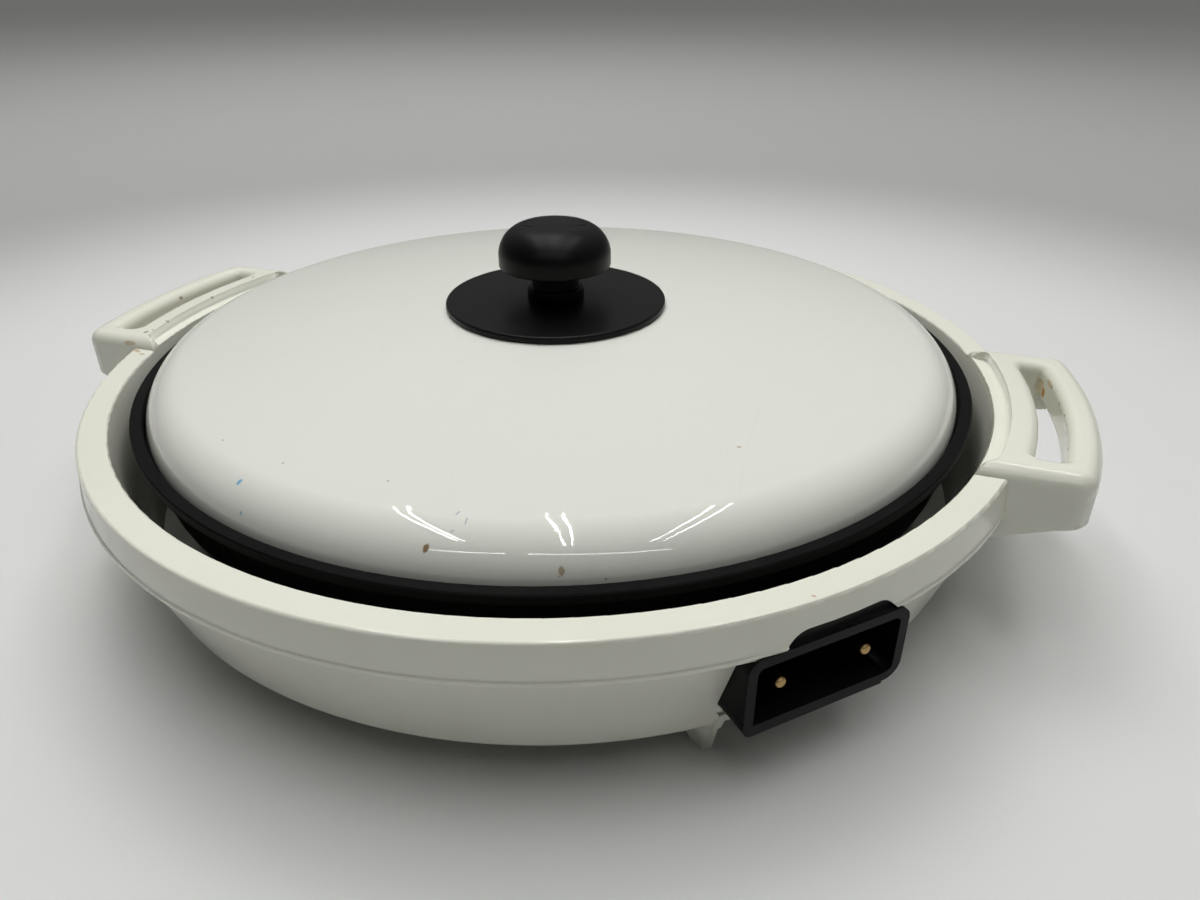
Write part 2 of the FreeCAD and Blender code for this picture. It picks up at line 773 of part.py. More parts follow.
def make_inlet_screw_holes():
    body = new_body("inlet_screw_way")
    face = circle_sketch(body, "inlet_screw_way_face", "YZ_Plane", [
        (d.inlet_screw_half, d.pin_height, d.small_screw_radius + d.pilot_fit),
        (-d.inlet_screw_half, d.pin_height, d.small_screw_radius + d.pilot_fit),
    ], shift=d.inlet_rear - d.inlet_screw_way / 2)
    pad(body, face, d.inlet_screw_way)
    return group("inlet_screw_ways", body, turn=d.inlet_azimuth)


def make_base_shell(window):
    body = new_body("base_profile")
    tongue_outer = d.rim_outer_radius - d.band_wall - d.side_gap - d.slip
    step = d.band_bottom + d.seat_gap
    profile = outline_sketch(body, "base_section", "XZ_Plane", [
        (0, d.base_under),
        (d.base_low_radius, d.base_under),
        (base_outside(step), step),
        (tongue_outer, step),
        (tongue_outer, d.tongue_top),
        (tongue_outer - d.tongue_wall, d.tongue_top),
        (tongue_outer - d.tongue_wall, step - d.base_wall),
        (base_outside(base_floor_top) - d.base_wall, base_floor_top),
        (0, base_floor_top),
    ])
    revolve(body, profile)
    rounded(body, ring_edges(body, d.base_low_radius, d.base_under), d.base_corner)
    rib_section = outline_sketch(body, "rib_section", "XZ_Plane", [
        (d.rib_radius, base_floor_top - d.merge),
        (d.rib_radius + d.rib_wall, base_floor_top - d.merge),
        (d.rib_radius + d.rib_wall, base_floor_top + d.rib_rise),
        (d.rib_radius, base_floor_top + d.rib_rise),
    ])
    revolve(body, rib_section)
    inner_section = outline_sketch(body, "inner_rib_section", "XZ_Plane", [
        (d.inner_rib_radius, base_floor_top - d.merge),
        (d.inner_rib_radius + d.rib_wall, base_floor_top - d.merge),
        (d.inner_rib_radius + d.rib_wall, base_floor_top + d.rib_rise),
        (d.inner_rib_radius, base_floor_top + d.rib_rise),
    ])
    revolve(body, inner_section)
    half = d.slot_width / 2
    slot = outline_sketch(body, "vent_slot", "XY_Plane", [
        (across(d.slot_inner, half), -half),
        (across(d.slot_outer, half), -half),
        (across(d.slot_outer, half), half),
        (across(d.slot_inner, half), half),
    ], arcs={1: d.slot_outer, 3: -d.slot_inner}, shift=d.base_under)
    slot_cut = pocket(body, slot, d.base_floor + d.over, reverse=True)
    polar(body, [slot_cut], d.slot_count)
    pan_holes = circle_sketch(body, "pan_screw_hole", "XY_Plane", [
        (d.pan_boss_place * cosine(45), d.pan_boss_place * sine(45), d.large_screw_radius + d.slip),
    ], shift=d.base_under)
    pan_cut = pocket(body, pan_holes, d.base_floor + d.over, reverse=True)
    polar(body, [pan_cut], d.pan_boss_count)
    liner_holes = circle_sketch(body, "liner_screw_hole", "XY_Plane", [
        (d.liner_screw_place, 0, d.small_screw_radius + d.slip),
    ], shift=d.base_under)
    liner_cut = pocket(body, liner_holes, d.base_floor + d.over, reverse=True)
    polar(body, [liner_cut], d.liner_screw_count)
    gaps = box("tongue_gaps", -far, far, -d.tongue_gap_half, d.tongue_gap_half,
               d.band_bottom + d.tongue_step, d.tongue_top + d.over)
    opened = cut("base_opened", body, gaps)
    foot = make_foot()
    back = mirror_of("foot_back", foot, Vector(1, 0, 0))
    right = mirror_of("foot_right", foot, Vector(0, 1, 0))
    back_right = mirror_of("foot_back_right", back, Vector(0, 1, 0))
    with_feet = fuse("base_with_feet", opened, foot, back, right, back_right)
    window_above = cut("base_finished", with_feet, window)
    keep("base_shell", window_above)


def mirror_of(name, source, normal):
    item = doc.addObject("Part::Mirroring", name)
    item.Source = source
    item.Base = Vector()
    item.Normal = normal
    return item


def make_foot():
    """A fin that tapers to its tip, with a ridge that runs up the side of the body."""
    body = doc.addObject("PartDesign::Body", "foot")
    x = d.foot_radius * cosine(d.foot_azimuth)
    y = d.foot_radius * sine(d.foot_azimuth)
    body.Placement = Placement(Vector(float(x), float(y), 0), Rotation(Vector(0, 0, 1), float(d.foot_turn)))
    bind(body, "Placement.Base.x", x)
    bind(body, "Placement.Base.y", y)
    bind(body, "Placement.Rotation.Angle", d.foot_turn)
    top = outline_sketch(body, "foot_root", "XY_Plane", [
        (0, -d.foot_front_width / 2),
        (0, d.foot_front_width / 2),
        (-d.foot_depth, d.foot_back_width / 2),
        (-d.foot_depth, -d.foot_back_width / 2),
    ], shift=base_floor_top - d.merge)
    tip = outline_sketch(body, "foot_tip", "XY_Plane", [
        (-d.foot_tip_set_back, -d.foot_front_width / 2),
        (-d.foot_tip_set_back, d.foot_front_width / 2),
        (-(d.foot_tip_set_back + d.foot_tip_depth), d.foot_tip_width / 2),
        (-(d.foot_tip_set_back + d.foot_tip_depth), -d.foot_tip_width / 2),
    ], shift=0)
    loft = body.newObject("PartDesign::AdditiveLoft", "foot_loft")
    loft.Profile = top
    loft.Sections = [tip]
    loft.Ruled = True
    low = d.base_under
    high = d.base_under + d.ridge_rise
    lean = base_outside(high) - base_outside(low)
    ridge = outline_sketch(body, "foot_ridge", "XZ_Plane", [
        (lean + d.ridge_proud - d.base_corner / 4, high),
        (d.foot_proud, low),
        (-d.foot_tip_set_back, low),
        (lean - d.base_wall, high),
    ])
    pad(body, ridge, d.foot_front_width, midplane=True)
    return body


def make_handle():
    """Saddle over the rim, two end blocks, and a bar beyond the finger slot."""
    body = new_body("handle_body")
    low = d.rim_top - d.gusset_inner_drop - d.over * 2
    inner_x = across(d.handle_saddle_radius, d.handle_half)
    outer_x = across(d.handle_outer_radius, d.handle_half)
    plan = outline_sketch(body, "handle_plan", "XY_Plane", [
        (inner_x, -d.handle_half),
        (outer_x, -d.handle_half),
        (outer_x, d.handle_half),
        (inner_x, d.handle_half),
    ], arcs={1: d.handle_outer_radius, 3: -d.handle_saddle_radius}, shift=low)
    pad(body, plan, handle_top - low)
    names = edges(body, lambda edge, middle: near(middle.x, outer_x) and near(abs(middle.y), d.handle_half)
                  and float(low) < middle.z < float(handle_top))
    rounded(body, names, d.handle_corner)
    # Soft top edge round the ends and the outside
    names = edges(body, lambda edge, middle: near(middle.z, handle_top) and middle.x > float(inner_x) + 1)
    rounded(body, names, d.handle_edge)
    # Room for the rim's lowered plate, the base's slope and the band
    step = d.band_bottom - d.seat_gap
    inside = outline_sketch(body, "handle_inside", "XZ_Plane", [
        (d.liner_low_radius, low - d.over),
        (base_outside(low - d.over) + d.side_gap, low - d.over),
        (base_outside(step) + d.side_gap, step),
        (d.handle_inner_wall, step),
        (d.handle_inner_wall, saddle_under),
        (d.liner_low_radius, saddle_under),
    ])
    revolve(body, inside, groove=True)
    # Sloping underside of the end blocks
    gusset = outline_sketch(body, "handle_gusset", "XZ_Plane", [
        (d.rim_inner_radius, low - d.over),
        (far, low - d.over),
        (far, d.rim_top - d.gusset_outer_drop),
        (d.handle_outer_radius - d.gusset_flat, d.rim_top - d.gusset_outer_drop),
        (d.rim_outer_radius + d.gusset_mid_reach, d.rim_top - d.gusset_mid_drop),
        (d.rim_inner_radius, d.rim_top - d.gusset_inner_drop),
    ])
    pocket(body, gusset, (d.handle_half + d.over) * 2, midplane=True)
    # The middle is shallower than the end blocks
    under = outline_sketch(body, "handle_middle", "XY_Plane", [
        (d.liner_low_radius, -(d.grip_slot_half + d.over)),
        (far, -(d.grip_slot_half + d.over)),
        (far, d.grip_slot_half + d.over),
        (d.liner_low_radius, d.grip_slot_half + d.over),
    ], shift=d.rim_top - d.bar_drop)
    pocket(body, under, d.gusset_inner_drop)
    slot = outline_sketch(body, "grip_slot", "XY_Plane", [
        (across(d.grip_slot_inner, d.grip_slot_half), -d.grip_slot_half),
        (across(d.grip_slot_outer, d.grip_slot_half), -d.grip_slot_half),
        (across(d.grip_slot_outer, d.grip_slot_half), d.grip_slot_half),
        (across(d.grip_slot_inner, d.grip_slot_half), d.grip_slot_half),
    ], arcs={1: d.grip_slot_outer, 3: -d.grip_slot_inner}, shift=handle_top + d.over)
    pocket(body, slot, handle_top - low + d.over * 2)
    corner = edges(body, lambda edge, middle: near(abs(middle.y), d.grip_slot_half)
                   and (near(middle.x, across(d.grip_slot_inner, d.grip_slot_half))
                        or near(middle.x, across(d.grip_slot_outer, d.grip_slot_half)))
                   and upright(edge))
    rounded(body, corner, d.grip_slot_corner)
    brim = edges(body, lambda edge, middle: around_slot(middle)
                 and (near(middle.z, handle_top) or near(middle.z, d.rim_top - d.bar_drop)))
    rounded(body, brim, d.bar_edge)
    # The ledge, with its two round corners in the outline
    inner = d.ledge_radius - d.ledge_corner
    corner_y = d.ledge_half - d.ledge_corner
    corner_x = across(inner, corner_y)
    grown = d.ledge_radius / inner
    ledge = outline_sketch(body, "ledge_plan", "XY_Plane", [
        (d.liner_low_radius, -d.ledge_half),
        (corner_x, -d.ledge_half),
        (corner_x * grown, -(corner_y * grown)),
        (corner_x * grown, corner_y * grown),
        (corner_x, d.ledge_half),
        (d.liner_low_radius, d.ledge_half),
    ], arcs={1: d.ledge_corner, 2: d.ledge_radius, 3: d.ledge_corner}, shift=handle_top + d.over)
    pocket(body, ledge, d.handle_rise - d.ledge_rise + d.over)
    # Screw holes from below
    x = across(d.handle_screw_radius, d.handle_screw_half)
    holes = circle_sketch(body, "handle_screw_holes", "XY_Plane", [
        (x, d.handle_screw_half, d.small_screw_radius + d.pilot_fit),
        (x, -d.handle_screw_half, d.small_screw_radius + d.pilot_fit),
    ], shift=saddle_under)
    pocket(body, holes, handle_hole_top - saddle_under, reverse=True)
    keep("handle_right", body)
    keep("handle_left", mirror_of("handle_mirrored", body, Vector(1, 0, 0)))


def around_slot(point):
    """True on the rim of the finger slot, corners included."""
    reach = math.hypot(point.x, point.y)
    beside = float(d.grip_slot_inner - d.slip) < reach < float(d.grip_slot_outer + d.slip)
    return beside and abs(point.y) < float(d.grip_slot_half + d.slip)


def make_pan():
    """Cast pan: flange, ledge for the lid, drafted wall, round corner, bosses below."""
    body = new_body("pan_body")
    floor_top = d.pan_under + d.pan_floor
    bevel = d.pan_flange_bevel
    profile = outline_sketch(body, "pan_section", "XZ_Plane", [
        (0, d.pan_under),
        (pan_wall_at(d.pan_under), d.pan_under),
        (d.pan_wall_radius, pan_flange_under),
        (d.pan_flange_radius, pan_flange_under),
        (d.pan_flange_radius, pan_top - bevel),
        (d.pan_flange_radius - bevel, pan_top),
        (d.pan_flange_inner + bevel, pan_top),
        (d.pan_flange_inner, pan_top - bevel),
        (d.pan_flange_inner, pan_ledge),
        (pan_wall_at(pan_ledge) - d.pan_wall, pan_ledge),
        (pan_wall_at(floor_top) - d.pan_wall, floor_top),
        (0, floor_top),
    ])
    revolve(body, profile)
    rounded(body, ring_edges(body, pan_wall_at(d.pan_under), d.pan_under), d.pan_corner)
    rounded(body, ring_edges(body, pan_wall_at(floor_top) - d.pan_wall, floor_top), d.pan_inner_corner)
    boss_x = d.pan_boss_place * cosine(45)
    boss_y = d.pan_boss_place * sine(45)
    boss_face = circle_sketch(body, "pan_boss", "XY_Plane", [(boss_x, boss_y, d.pan_boss_radius)],
                              shift=d.pan_under - d.pan_boss_drop)
    boss = pad(body, boss_face, d.pan_boss_drop + d.merge)
    polar(body, [boss], d.pan_boss_count)
    hole_radius = d.large_screw_radius + d.pilot_fit
    hole_face = circle_sketch(body, "pan_boss_hole", "XY_Plane", [(boss_x, boss_y, hole_radius)],
                              shift=d.pan_under - d.pan_boss_drop)
    hole = pocket(body, hole_face, d.pan_boss_drop + d.pan_floor - d.hole_skin, reverse=True)
    polar(body, [hole], d.pan_boss_count)
    strap_x = strap_screw_place()
    strap_hole_radius = d.small_screw_radius + d.pilot_fit
    strap_face = circle_sketch(body, "strap_hole", "XY_Plane", [(strap_x, 0, strap_hole_radius)],
                               shift=d.pan_under)
    strap_hole = pocket(body, strap_face, d.pan_floor - d.hole_skin, reverse=True)
    polar(body, [strap_hole], d.strap_count)
    keep("pan", body)


def sheath_height():
    """Middle of the element's tube, just below the pan."""
    return d.pan_under - d.heat_gap - d.sheath_radius


def strap_wall():
    """Inner face of a strap's outer side, from the axis."""
    return d.ring_radius + d.sheath_radius + d.side_gap


def strap_screw_place():
    return strap_wall() + d.strap_ear * 0.6


def make_element_clamps():
    """Bent straps that hold the tube up to the pan, each with an ear and a screw."""
    body = new_body("straps")
    low = sheath_height() - d.sheath_radius - d.side_gap - d.strap_thick
    high = d.pan_under - d.seat_gap
    inside = d.ring_radius - d.sheath_radius - d.side_gap
    section = outline_sketch(body, "strap_section", "XZ_Plane", [
        (inside - d.strap_thick, low),
        (strap_wall() + d.strap_thick, low),
        (strap_wall() + d.strap_thick, high - d.strap_thick),
        (strap_wall() + d.strap_ear, high - d.strap_thick),
        (strap_wall() + d.strap_ear, high),
        (strap_wall(), high),
        (strap_wall(), low + d.strap_thick),
        (inside, low + d.strap_thick),
        (inside, high),
        (inside - d.strap_thick, high),
    ])
    strap = pad(body, section, d.strap_width, midplane=True)
    polar(body, [strap], d.strap_count)
    hole_face = circle_sketch(body, "strap_way", "XY_Plane",
                              [(strap_screw_place(), 0, d.small_screw_radius + d.slip)],
                              shift=high - d.strap_thick - d.over)
    hole = pocket(body, hole_face, d.strap_thick + d.over * 2, reverse=True)
    polar(body, [hole], d.strap_count)
    keep("element_clamps", body)
    screws("clamp_screws", strap_screw_place(), [0], d.strap_count, high - d.strap_thick,
           d.strap_thick + d.seat_gap + d.pan_floor - d.hole_skin - d.tip_room,
           d.small_screw_radius, d.small_head_radius, d.small_head)


def screws(name, place, azimuths, count, seat, length, shank, head, head_depth):
    """Screws driven upwards: the head hangs below the seat and the shank stands above it."""
    body = new_body(name)
    turned = []
    for index, azimuth in enumerate(azimuths):
        section = outline_sketch(body, f"{name}_section_{index}", "XZ_Plane", [
            (place, seat - head_depth),
            (place + head * 0.8, seat - head_depth),
            (place + head, seat - head_depth * 0.6),
            (place + head, seat),
            (place + shank, seat),
            (place + shank, seat + length - shank),
            (place + shank * 0.3, seat + length),
            (place, seat + length),
        ], axis=((place, seat - head_depth), (place, seat + length)), turn=azimuth)
        turned.append(revolve(body, section, axis="Axis0"))
    if count is not None:
        polar(body, turned, count)
    keep(name, body)


def make_lid():
    """Enamelled sheet: flat crown, round shoulder and a short skirt down to the ledge."""
    body = new_body("lid_body")
    bottom = pan_ledge + d.lid_gap
    crown = d.lid_crown_radius
    shoulder = d.lid_shoulder
    sheet_wall = d.lid_sheet
    crown_centre = lid_top - crown
    shoulder_x = d.lid_radius - shoulder
    shoulder_z = lid_shoulder_height
    outside = crown / (crown - shoulder)
    inside = (crown - sheet_wall) / (crown - shoulder)
    rise = shoulder_z - crown_centre
    profile = outline_sketch(body, "lid_section", "XZ_Plane", [
        (0, lid_top - sheet_wall),
        (shoulder_x * inside, crown_centre + rise * inside),
        (d.lid_radius - sheet_wall, shoulder_z),
        (d.lid_radius - sheet_wall, bottom),
        (d.lid_radius, bottom),
        (d.lid_radius, shoulder_z),
        (shoulder_x * outside, crown_centre + rise * outside),
        (0, lid_top),
    ], arcs={0: -(crown - sheet_wall), 1: -(shoulder - sheet_wall), 5: shoulder, 6: crown})
    revolve(body, profile)
    hole = circle_sketch(body, "lid_hole", "XY_Plane", [(0, 0, d.knob_screw_radius + d.slip)],
                         shift=lid_top - sheet_wall - d.over)
    pocket(body, hole, sheet_wall + d.over * 2, reverse=True)
    keep("lid_dome", body)


def disc_under():
    """The disc's edge rests on the crown, which has fallen a little by that radius."""
    fall = d.lid_crown_radius - across(d.lid_crown_radius, d.disc_radius - d.disc_edge_wall)
    return lid_top - fall + d.slip / 2


def make_knob_disc():
    body = new_body("disc_body")
    low = disc_under()
    top = low + d.disc_thick
    profile = outline_sketch(body, "disc_section", "XZ_Plane", [
        (d.knob_screw_radius + d.slip, low + d.disc_recess),
        (d.disc_radius - d.disc_edge_wall, low + d.disc_recess),
        (d.disc_radius - d.disc_edge_wall, low),
        (d.disc_radius - d.disc_bevel, low),
        (d.disc_radius, low + d.disc_bevel),
        (d.disc_radius, top - d.disc_bevel),
        (d.disc_radius - d.disc_bevel, top),
        (d.knob_screw_radius + d.slip, top),
    ])
    revolve(body, profile)
    keep("knob_disc", body)


def make_knob():
    """Short wide stem and a narrower neck, under a broad head with round shoulders and a flat top."""
    body = new_body("knob_body")
    low = disc_under() + d.disc_thick + d.slip / 2
    stem = low + d.knob_stem_rise
    neck = d.knob_neck_radius
    lip = low + d.knob_lip_rise
    top = low + d.knob_top_rise
    profile = outline_sketch(body, "knob_section", "XZ_Plane", [
        (0, low),
        (d.knob_stem_radius, low),
        (d.knob_stem_radius, stem - d.knob_stem_round),
        (d.knob_stem_radius - d.knob_stem_round, stem),
        (neck, stem),
        (neck, lip - d.knob_throat),
        (neck + d.knob_throat, lip),
        (d.knob_radius - d.knob_lip_bevel, lip),
        (d.knob_radius, lip + d.knob_lip_bevel),
        (d.knob_radius, low + d.knob_side_rise),
        (d.knob_flat_radius, top - d.knob_flat_drop),
        (0, top),
    ], arcs={2: d.knob_stem_round, 5: -d.knob_throat, 7: d.knob_lip_bevel, 9: d.knob_head_arc})
    revolve(body, profile)
    hole_radius = d.knob_screw_radius + d.pilot_fit
    hole = circle_sketch(body, "knob_hole", "XY_Plane", [(0, 0, hole_radius)], shift=low)
    pocket(body, hole, d.knob_screw_depth, reverse=True)
    keep("lid_knob", body)


def make_knob_fastener():
    """Washer and screw inside the lid."""
    under_crown = lid_top - d.lid_sheet - d.slip / 2
    washer = new_body("washer_body")
    ring = circle_sketch(washer, "washer_face", "XY_Plane", [
        (0, 0, d.knob_washer_radius),
        (0, 0, d.knob_screw_radius + d.slip),
    ], shift=under_crown - d.knob_washer_thick)
    pad(washer, ring, d.knob_washer_thick)
    keep("knob_washer", washer)
    seat = under_crown - d.knob_washer_thick - d.slip / 2
    knob_low = disc_under() + d.disc_thick + d.slip / 2
    length = knob_low - seat + d.knob_screw_depth - d.tip_room
    screws("knob_screw", sized(0), [0], None, seat, length,
           d.knob_screw_radius, d.large_head_radius, d.large_head)


def make_inlet():
    """Surround of the inlet: a deep open box through the wall, a rear plate, a flange and a hump."""
    body = new_body("socket_body", turn=d.inlet_azimuth)
    gap = d.side_gap
    flange_top = d.inlet_top + d.inlet_flange_reach
    flange_bottom = d.inlet_bottom - d.inlet_flange_reach
    top_radius = liner_inside(flange_top) - gap
    mid_radius = d.liner_mid_radius - gap
    low_radius = liner_inside(flange_bottom) - gap
    flange = outline_sketch(body, "inlet_flange_section", "XZ_Plane", [
        (low_radius - d.inlet_flange, flange_bottom),
        (low_radius, flange_bottom),
        (mid_radius, d.liner_mid_height),
        (top_radius, flange_top),
        (top_radius - d.inlet_flange, flange_top),
        (mid_radius - d.inlet_flange, d.liner_mid_height),
    ])
    reach = d.inlet_screw_half + d.inlet_flange_margin
    share = float(reach) / float(d.liner_mid_radius)
    angle = Size(math.degrees(math.asin(share)), f"asin({reach.text} / {d.liner_mid_radius.text})")
    revolve(body, flange, angle=angle * 2)
    face = outline_sketch(body, "inlet_face", "YZ_Plane", [
        (-d.inlet_half, d.inlet_bottom),
        (d.inlet_half, d.inlet_bottom),
        (d.inlet_half, d.inlet_top),
        (-d.inlet_half, d.inlet_top),
    ], shift=d.inlet_rear)
    pad(body, face, d.inlet_front - d.inlet_rear)
    plate = float(d.inlet_plate_front)
    front = float(d.inlet_front)
    names = edges(body, lambda edge, middle: plate < middle.x < front and near(abs(middle.y), d.inlet_half)
                  and near(middle.z, d.inlet_top))
    rounded(body, names, d.inlet_corner)
    names = edges(body, lambda edge, middle: plate < middle.x < front and near(abs(middle.y), d.inlet_half)
                  and near(middle.z, d.inlet_bottom))
    rounded(body, names, d.inlet_low_corner)
    hump = outline_sketch(body, "hump_face", "YZ_Plane", hump_outline(), shift=d.hump_front - d.hump_thick)
    pad(body, hump, d.hump_thick)
    rounded(body, crest_edges(body, d.hump_top), d.hump_shoulder)
    half = d.inlet_half - d.inlet_wall
    low = d.inlet_bottom + d.inlet_wall
    high = d.inlet_top - d.inlet_wall
    opening = [(-half, low), (half, low), (half, high), (-half, high)]
    cavity = outline_sketch(body, "inlet_cavity", "YZ_Plane", opening, shift=d.inlet_plate_front)
    pocket(body, cavity, far - d.inlet_plate_front, reverse=True)
    names = edges(body, lambda edge, middle: near(abs(middle.y), half) and plate < middle.x < front
                  and (near(middle.z, low) or near(middle.z, high)))
    rounded(body, names, d.inlet_cavity_corner)
    plate_rear = d.inlet_plate_front - d.inlet_plate
    back = outline_sketch(body, "inlet_back", "YZ_Plane", opening, shift=plate_rear)
    pocket(body, back, d.margin)
    ways = circle_sketch(body, "inlet_ways", "YZ_Plane", [
        (d.pin_half, d.pin_height, d.bead_radius + d.slip),
        (-d.pin_half, d.pin_height, d.bead_radius + d.slip),
        (0, d.pin_height, d.probe_sleeve_radius + d.slip),
    ], shift=plate_rear - d.over)
    pocket(body, ways, d.inlet_plate + d.over * 2, reverse=True)
    screw_ways = circle_sketch(body, "inlet_flange_ways", "YZ_Plane", [
        (d.inlet_screw_half, d.pin_height, d.small_screw_radius + d.slip),
        (-d.inlet_screw_half, d.pin_height, d.small_screw_radius + d.slip),
    ], shift=d.inlet_rear - d.inlet_screw_way / 2)
    pocket(body, screw_ways, d.inlet_screw_way, reverse=True)
    # Room for the lower strip and for its left end, which stands higher
    seam = d.inlet_bottom + d.cover_rise
    rear = d.cover_rear - gap / 2
    room = outline_sketch(body, "cover_room", "XY_Plane", [
        (rear, -far / 2),
        (far, -far / 2),
        (far, d.cover_end + gap / 2),
        (rear, d.cover_end + gap / 2),
    ], shift=low)
    pocket(body, room, d.margin)
    end_room = outline_sketch(body, "cover_end_room", "XY_Plane", [
        (rear, -far / 2),
        (far, -far / 2),
        (far, -(half - d.over)),
        (rear, -(half - d.over)),
    ], shift=seam)
    pocket(body, end_room, d.margin)
    pegs = circle_sketch(body, "peg_holes", "XY_Plane", peg_places(d.peg_radius + d.slip / 2), shift=seam)
    pocket(body, pegs, d.peg_length + d.slip, reverse=True)
    keep("socket_shroud", body)
    make_cover(low, seam)
    make_pins()
    make_inlet_screws()


def peg_places(radius):
    y = -(d.inlet_half - d.inlet_wall / 2)
    return [(d.cover_rear + d.peg_inset, y, radius), (d.inlet_front - d.peg_inset, y, radius)]


def make_cover(floor, seam):
    """The lower strip with its own corner, a little proud of the surround, held by two pegs."""
    body = new_body("cover_body", turn=d.inlet_azimuth)
    gap = d.side_gap / 2
    low = d.inlet_bottom - d.cover_proud
    inner = -(d.inlet_half - d.inlet_wall)
    face = outline_sketch(body, "cover_face", "YZ_Plane", [
        (-d.inlet_half, low),
        (d.cover_end, low),
        (d.cover_end, floor - gap),
        (inner, floor - gap),
        (inner, seam - gap),
        (-d.inlet_half, seam - gap),
    ], shift=d.cover_rear)
    pad(body, face, d.inlet_front - d.cover_rear)
    names = edges(body, lambda edge, middle: near(middle.y, -d.inlet_half) and near(middle.z, low))
    rounded(body, names, d.cover_corner)
    root_height = seam - gap - d.merge
    pegs = circle_sketch(body, "cover_pegs", "XY_Plane", peg_places(d.peg_radius), shift=root_height)
    pad(body, pegs, d.merge + d.peg_length)
    keep("socket_cover", body)


def make_pins():
    """Pins with a round tip, ceramic beads round their roots, and the probe's guide tube."""
    rear = d.inlet_plate_front - d.inlet_plate / 2
    shoulder = d.inlet_plate_front + d.bead_proud + d.slip / 2
    for name, side in (("terminal_pin_left", -1), ("terminal_pin_right", 1)):
        body = new_body(name, turn=d.inlet_azimuth)
        y = d.pin_half * side
        section = outline_sketch(body, f"{name}_section", "XY_Plane", [
            (rear, y),
            (rear, y + d.pin_root_radius),
            (shoulder, y + d.pin_root_radius),
            (shoulder, y + d.pin_radius),
            (d.pin_tip - d.pin_round, y + d.pin_radius),
            (d.pin_tip, y + d.pin_radius - d.pin_round),
            (d.pin_tip, y),
        ], arcs={4: -d.pin_round}, axis=((rear, y), (d.pin_tip, y)), shift=d.pin_height)
        revolve(body, section, axis="Axis0")
        keep(name, body)
    beads = new_body("terminal_beads", turn=d.inlet_azimuth)
    ring = circle_sketch(beads, "bead_face", "YZ_Plane", [
        (d.pin_half, d.pin_height, d.bead_radius),
        (-d.pin_half, d.pin_height, d.bead_radius),
        (d.pin_half, d.pin_height, d.pin_root_radius + d.pilot_fit),
        (-d.pin_half, d.pin_height, d.pin_root_radius + d.pilot_fit),
    ], shift=rear)
    pad(beads, ring, d.inlet_plate_front + d.bead_proud - rear)
    keep("terminal_insulators", beads)
    sleeve = new_body("sleeve_body", turn=d.inlet_azimuth)
    tube = circle_sketch(sleeve, "sleeve_face", "YZ_Plane", [
        (0, d.pin_height, d.probe_sleeve_radius),
        (0, d.pin_height, d.probe_bore_radius),
    ], shift=d.inlet_plate_front - d.probe_sleeve_length)
    pad(sleeve, tube, d.probe_sleeve_length)
    keep("probe_sleeve", sleeve)


def make_inlet_screws():
    """Two screws from the pan's side, through the flange and the liner's wall."""
    body = new_body("inlet_screw_body", turn=d.inlet_azimuth)
    wall = d.liner_mid_radius - d.side_gap - d.inlet_flange
    seat = across(wall - d.side_gap * 2, d.inlet_screw_half + d.small_head_radius) - d.slip / 2
    y = d.inlet_screw_half
    head = d.small_head_radius
    shank = d.small_screw_radius
    tip = seat + d.inlet_screw_length
    section = outline_sketch(body, "inlet_screw_section", "XY_Plane", [
        (seat - d.small_head, y),
        (seat - d.small_head, y + head * 0.8),
        (seat - d.small_head * 0.4, y + head),
        (seat, y + head),
        (seat, y + shank),
        (tip - shank, y + shank),
        (tip, y + shank * 0.3),
        (tip, y),
    ], axis=((seat - d.small_head, y), (tip, y)), shift=d.pin_height)
    screw = revolve(body, section, axis="Axis0")
    mirrored(body, [screw], "XZ_Plane")
    keep("socket_screws", body)


def make_element():
    """Ring of tube under the pan, two bends outwards and two legs up to the pins."""
    height = sheath_height()
    rise = float(d.pin_height - height)
    ring = float(d.ring_radius)
    stop = float(d.inlet_plate_front - d.inlet_plate / 2)
    one_leg, touch = element_leg(1, rise, stop)
    other_leg, far_touch = element_leg(-1, rise, stop)
    ring_edge = Part.Arc(touch, Vector(-ring, 0, 0), far_touch).toShape()
    path = Part.Wire(one_leg + [ring_edge] + other_leg[::-1])
    end = Vector(stop, float(d.pin_half), rise)
    first = Part.Wire(Part.Circle(end, Vector(-1, 0, 0), float(d.sheath_radius)).toShape())
    item = doc.addObject("Part::Feature", "element")
    item.Shape = path.makePipeShell([first], True, False)
    turn = Rotation(Vector(0, 0, 1), float(d.inlet_azimuth))
    item.Placement = Placement(Vector(0, 0, float(height)), turn)
    keep("heating_element", item)


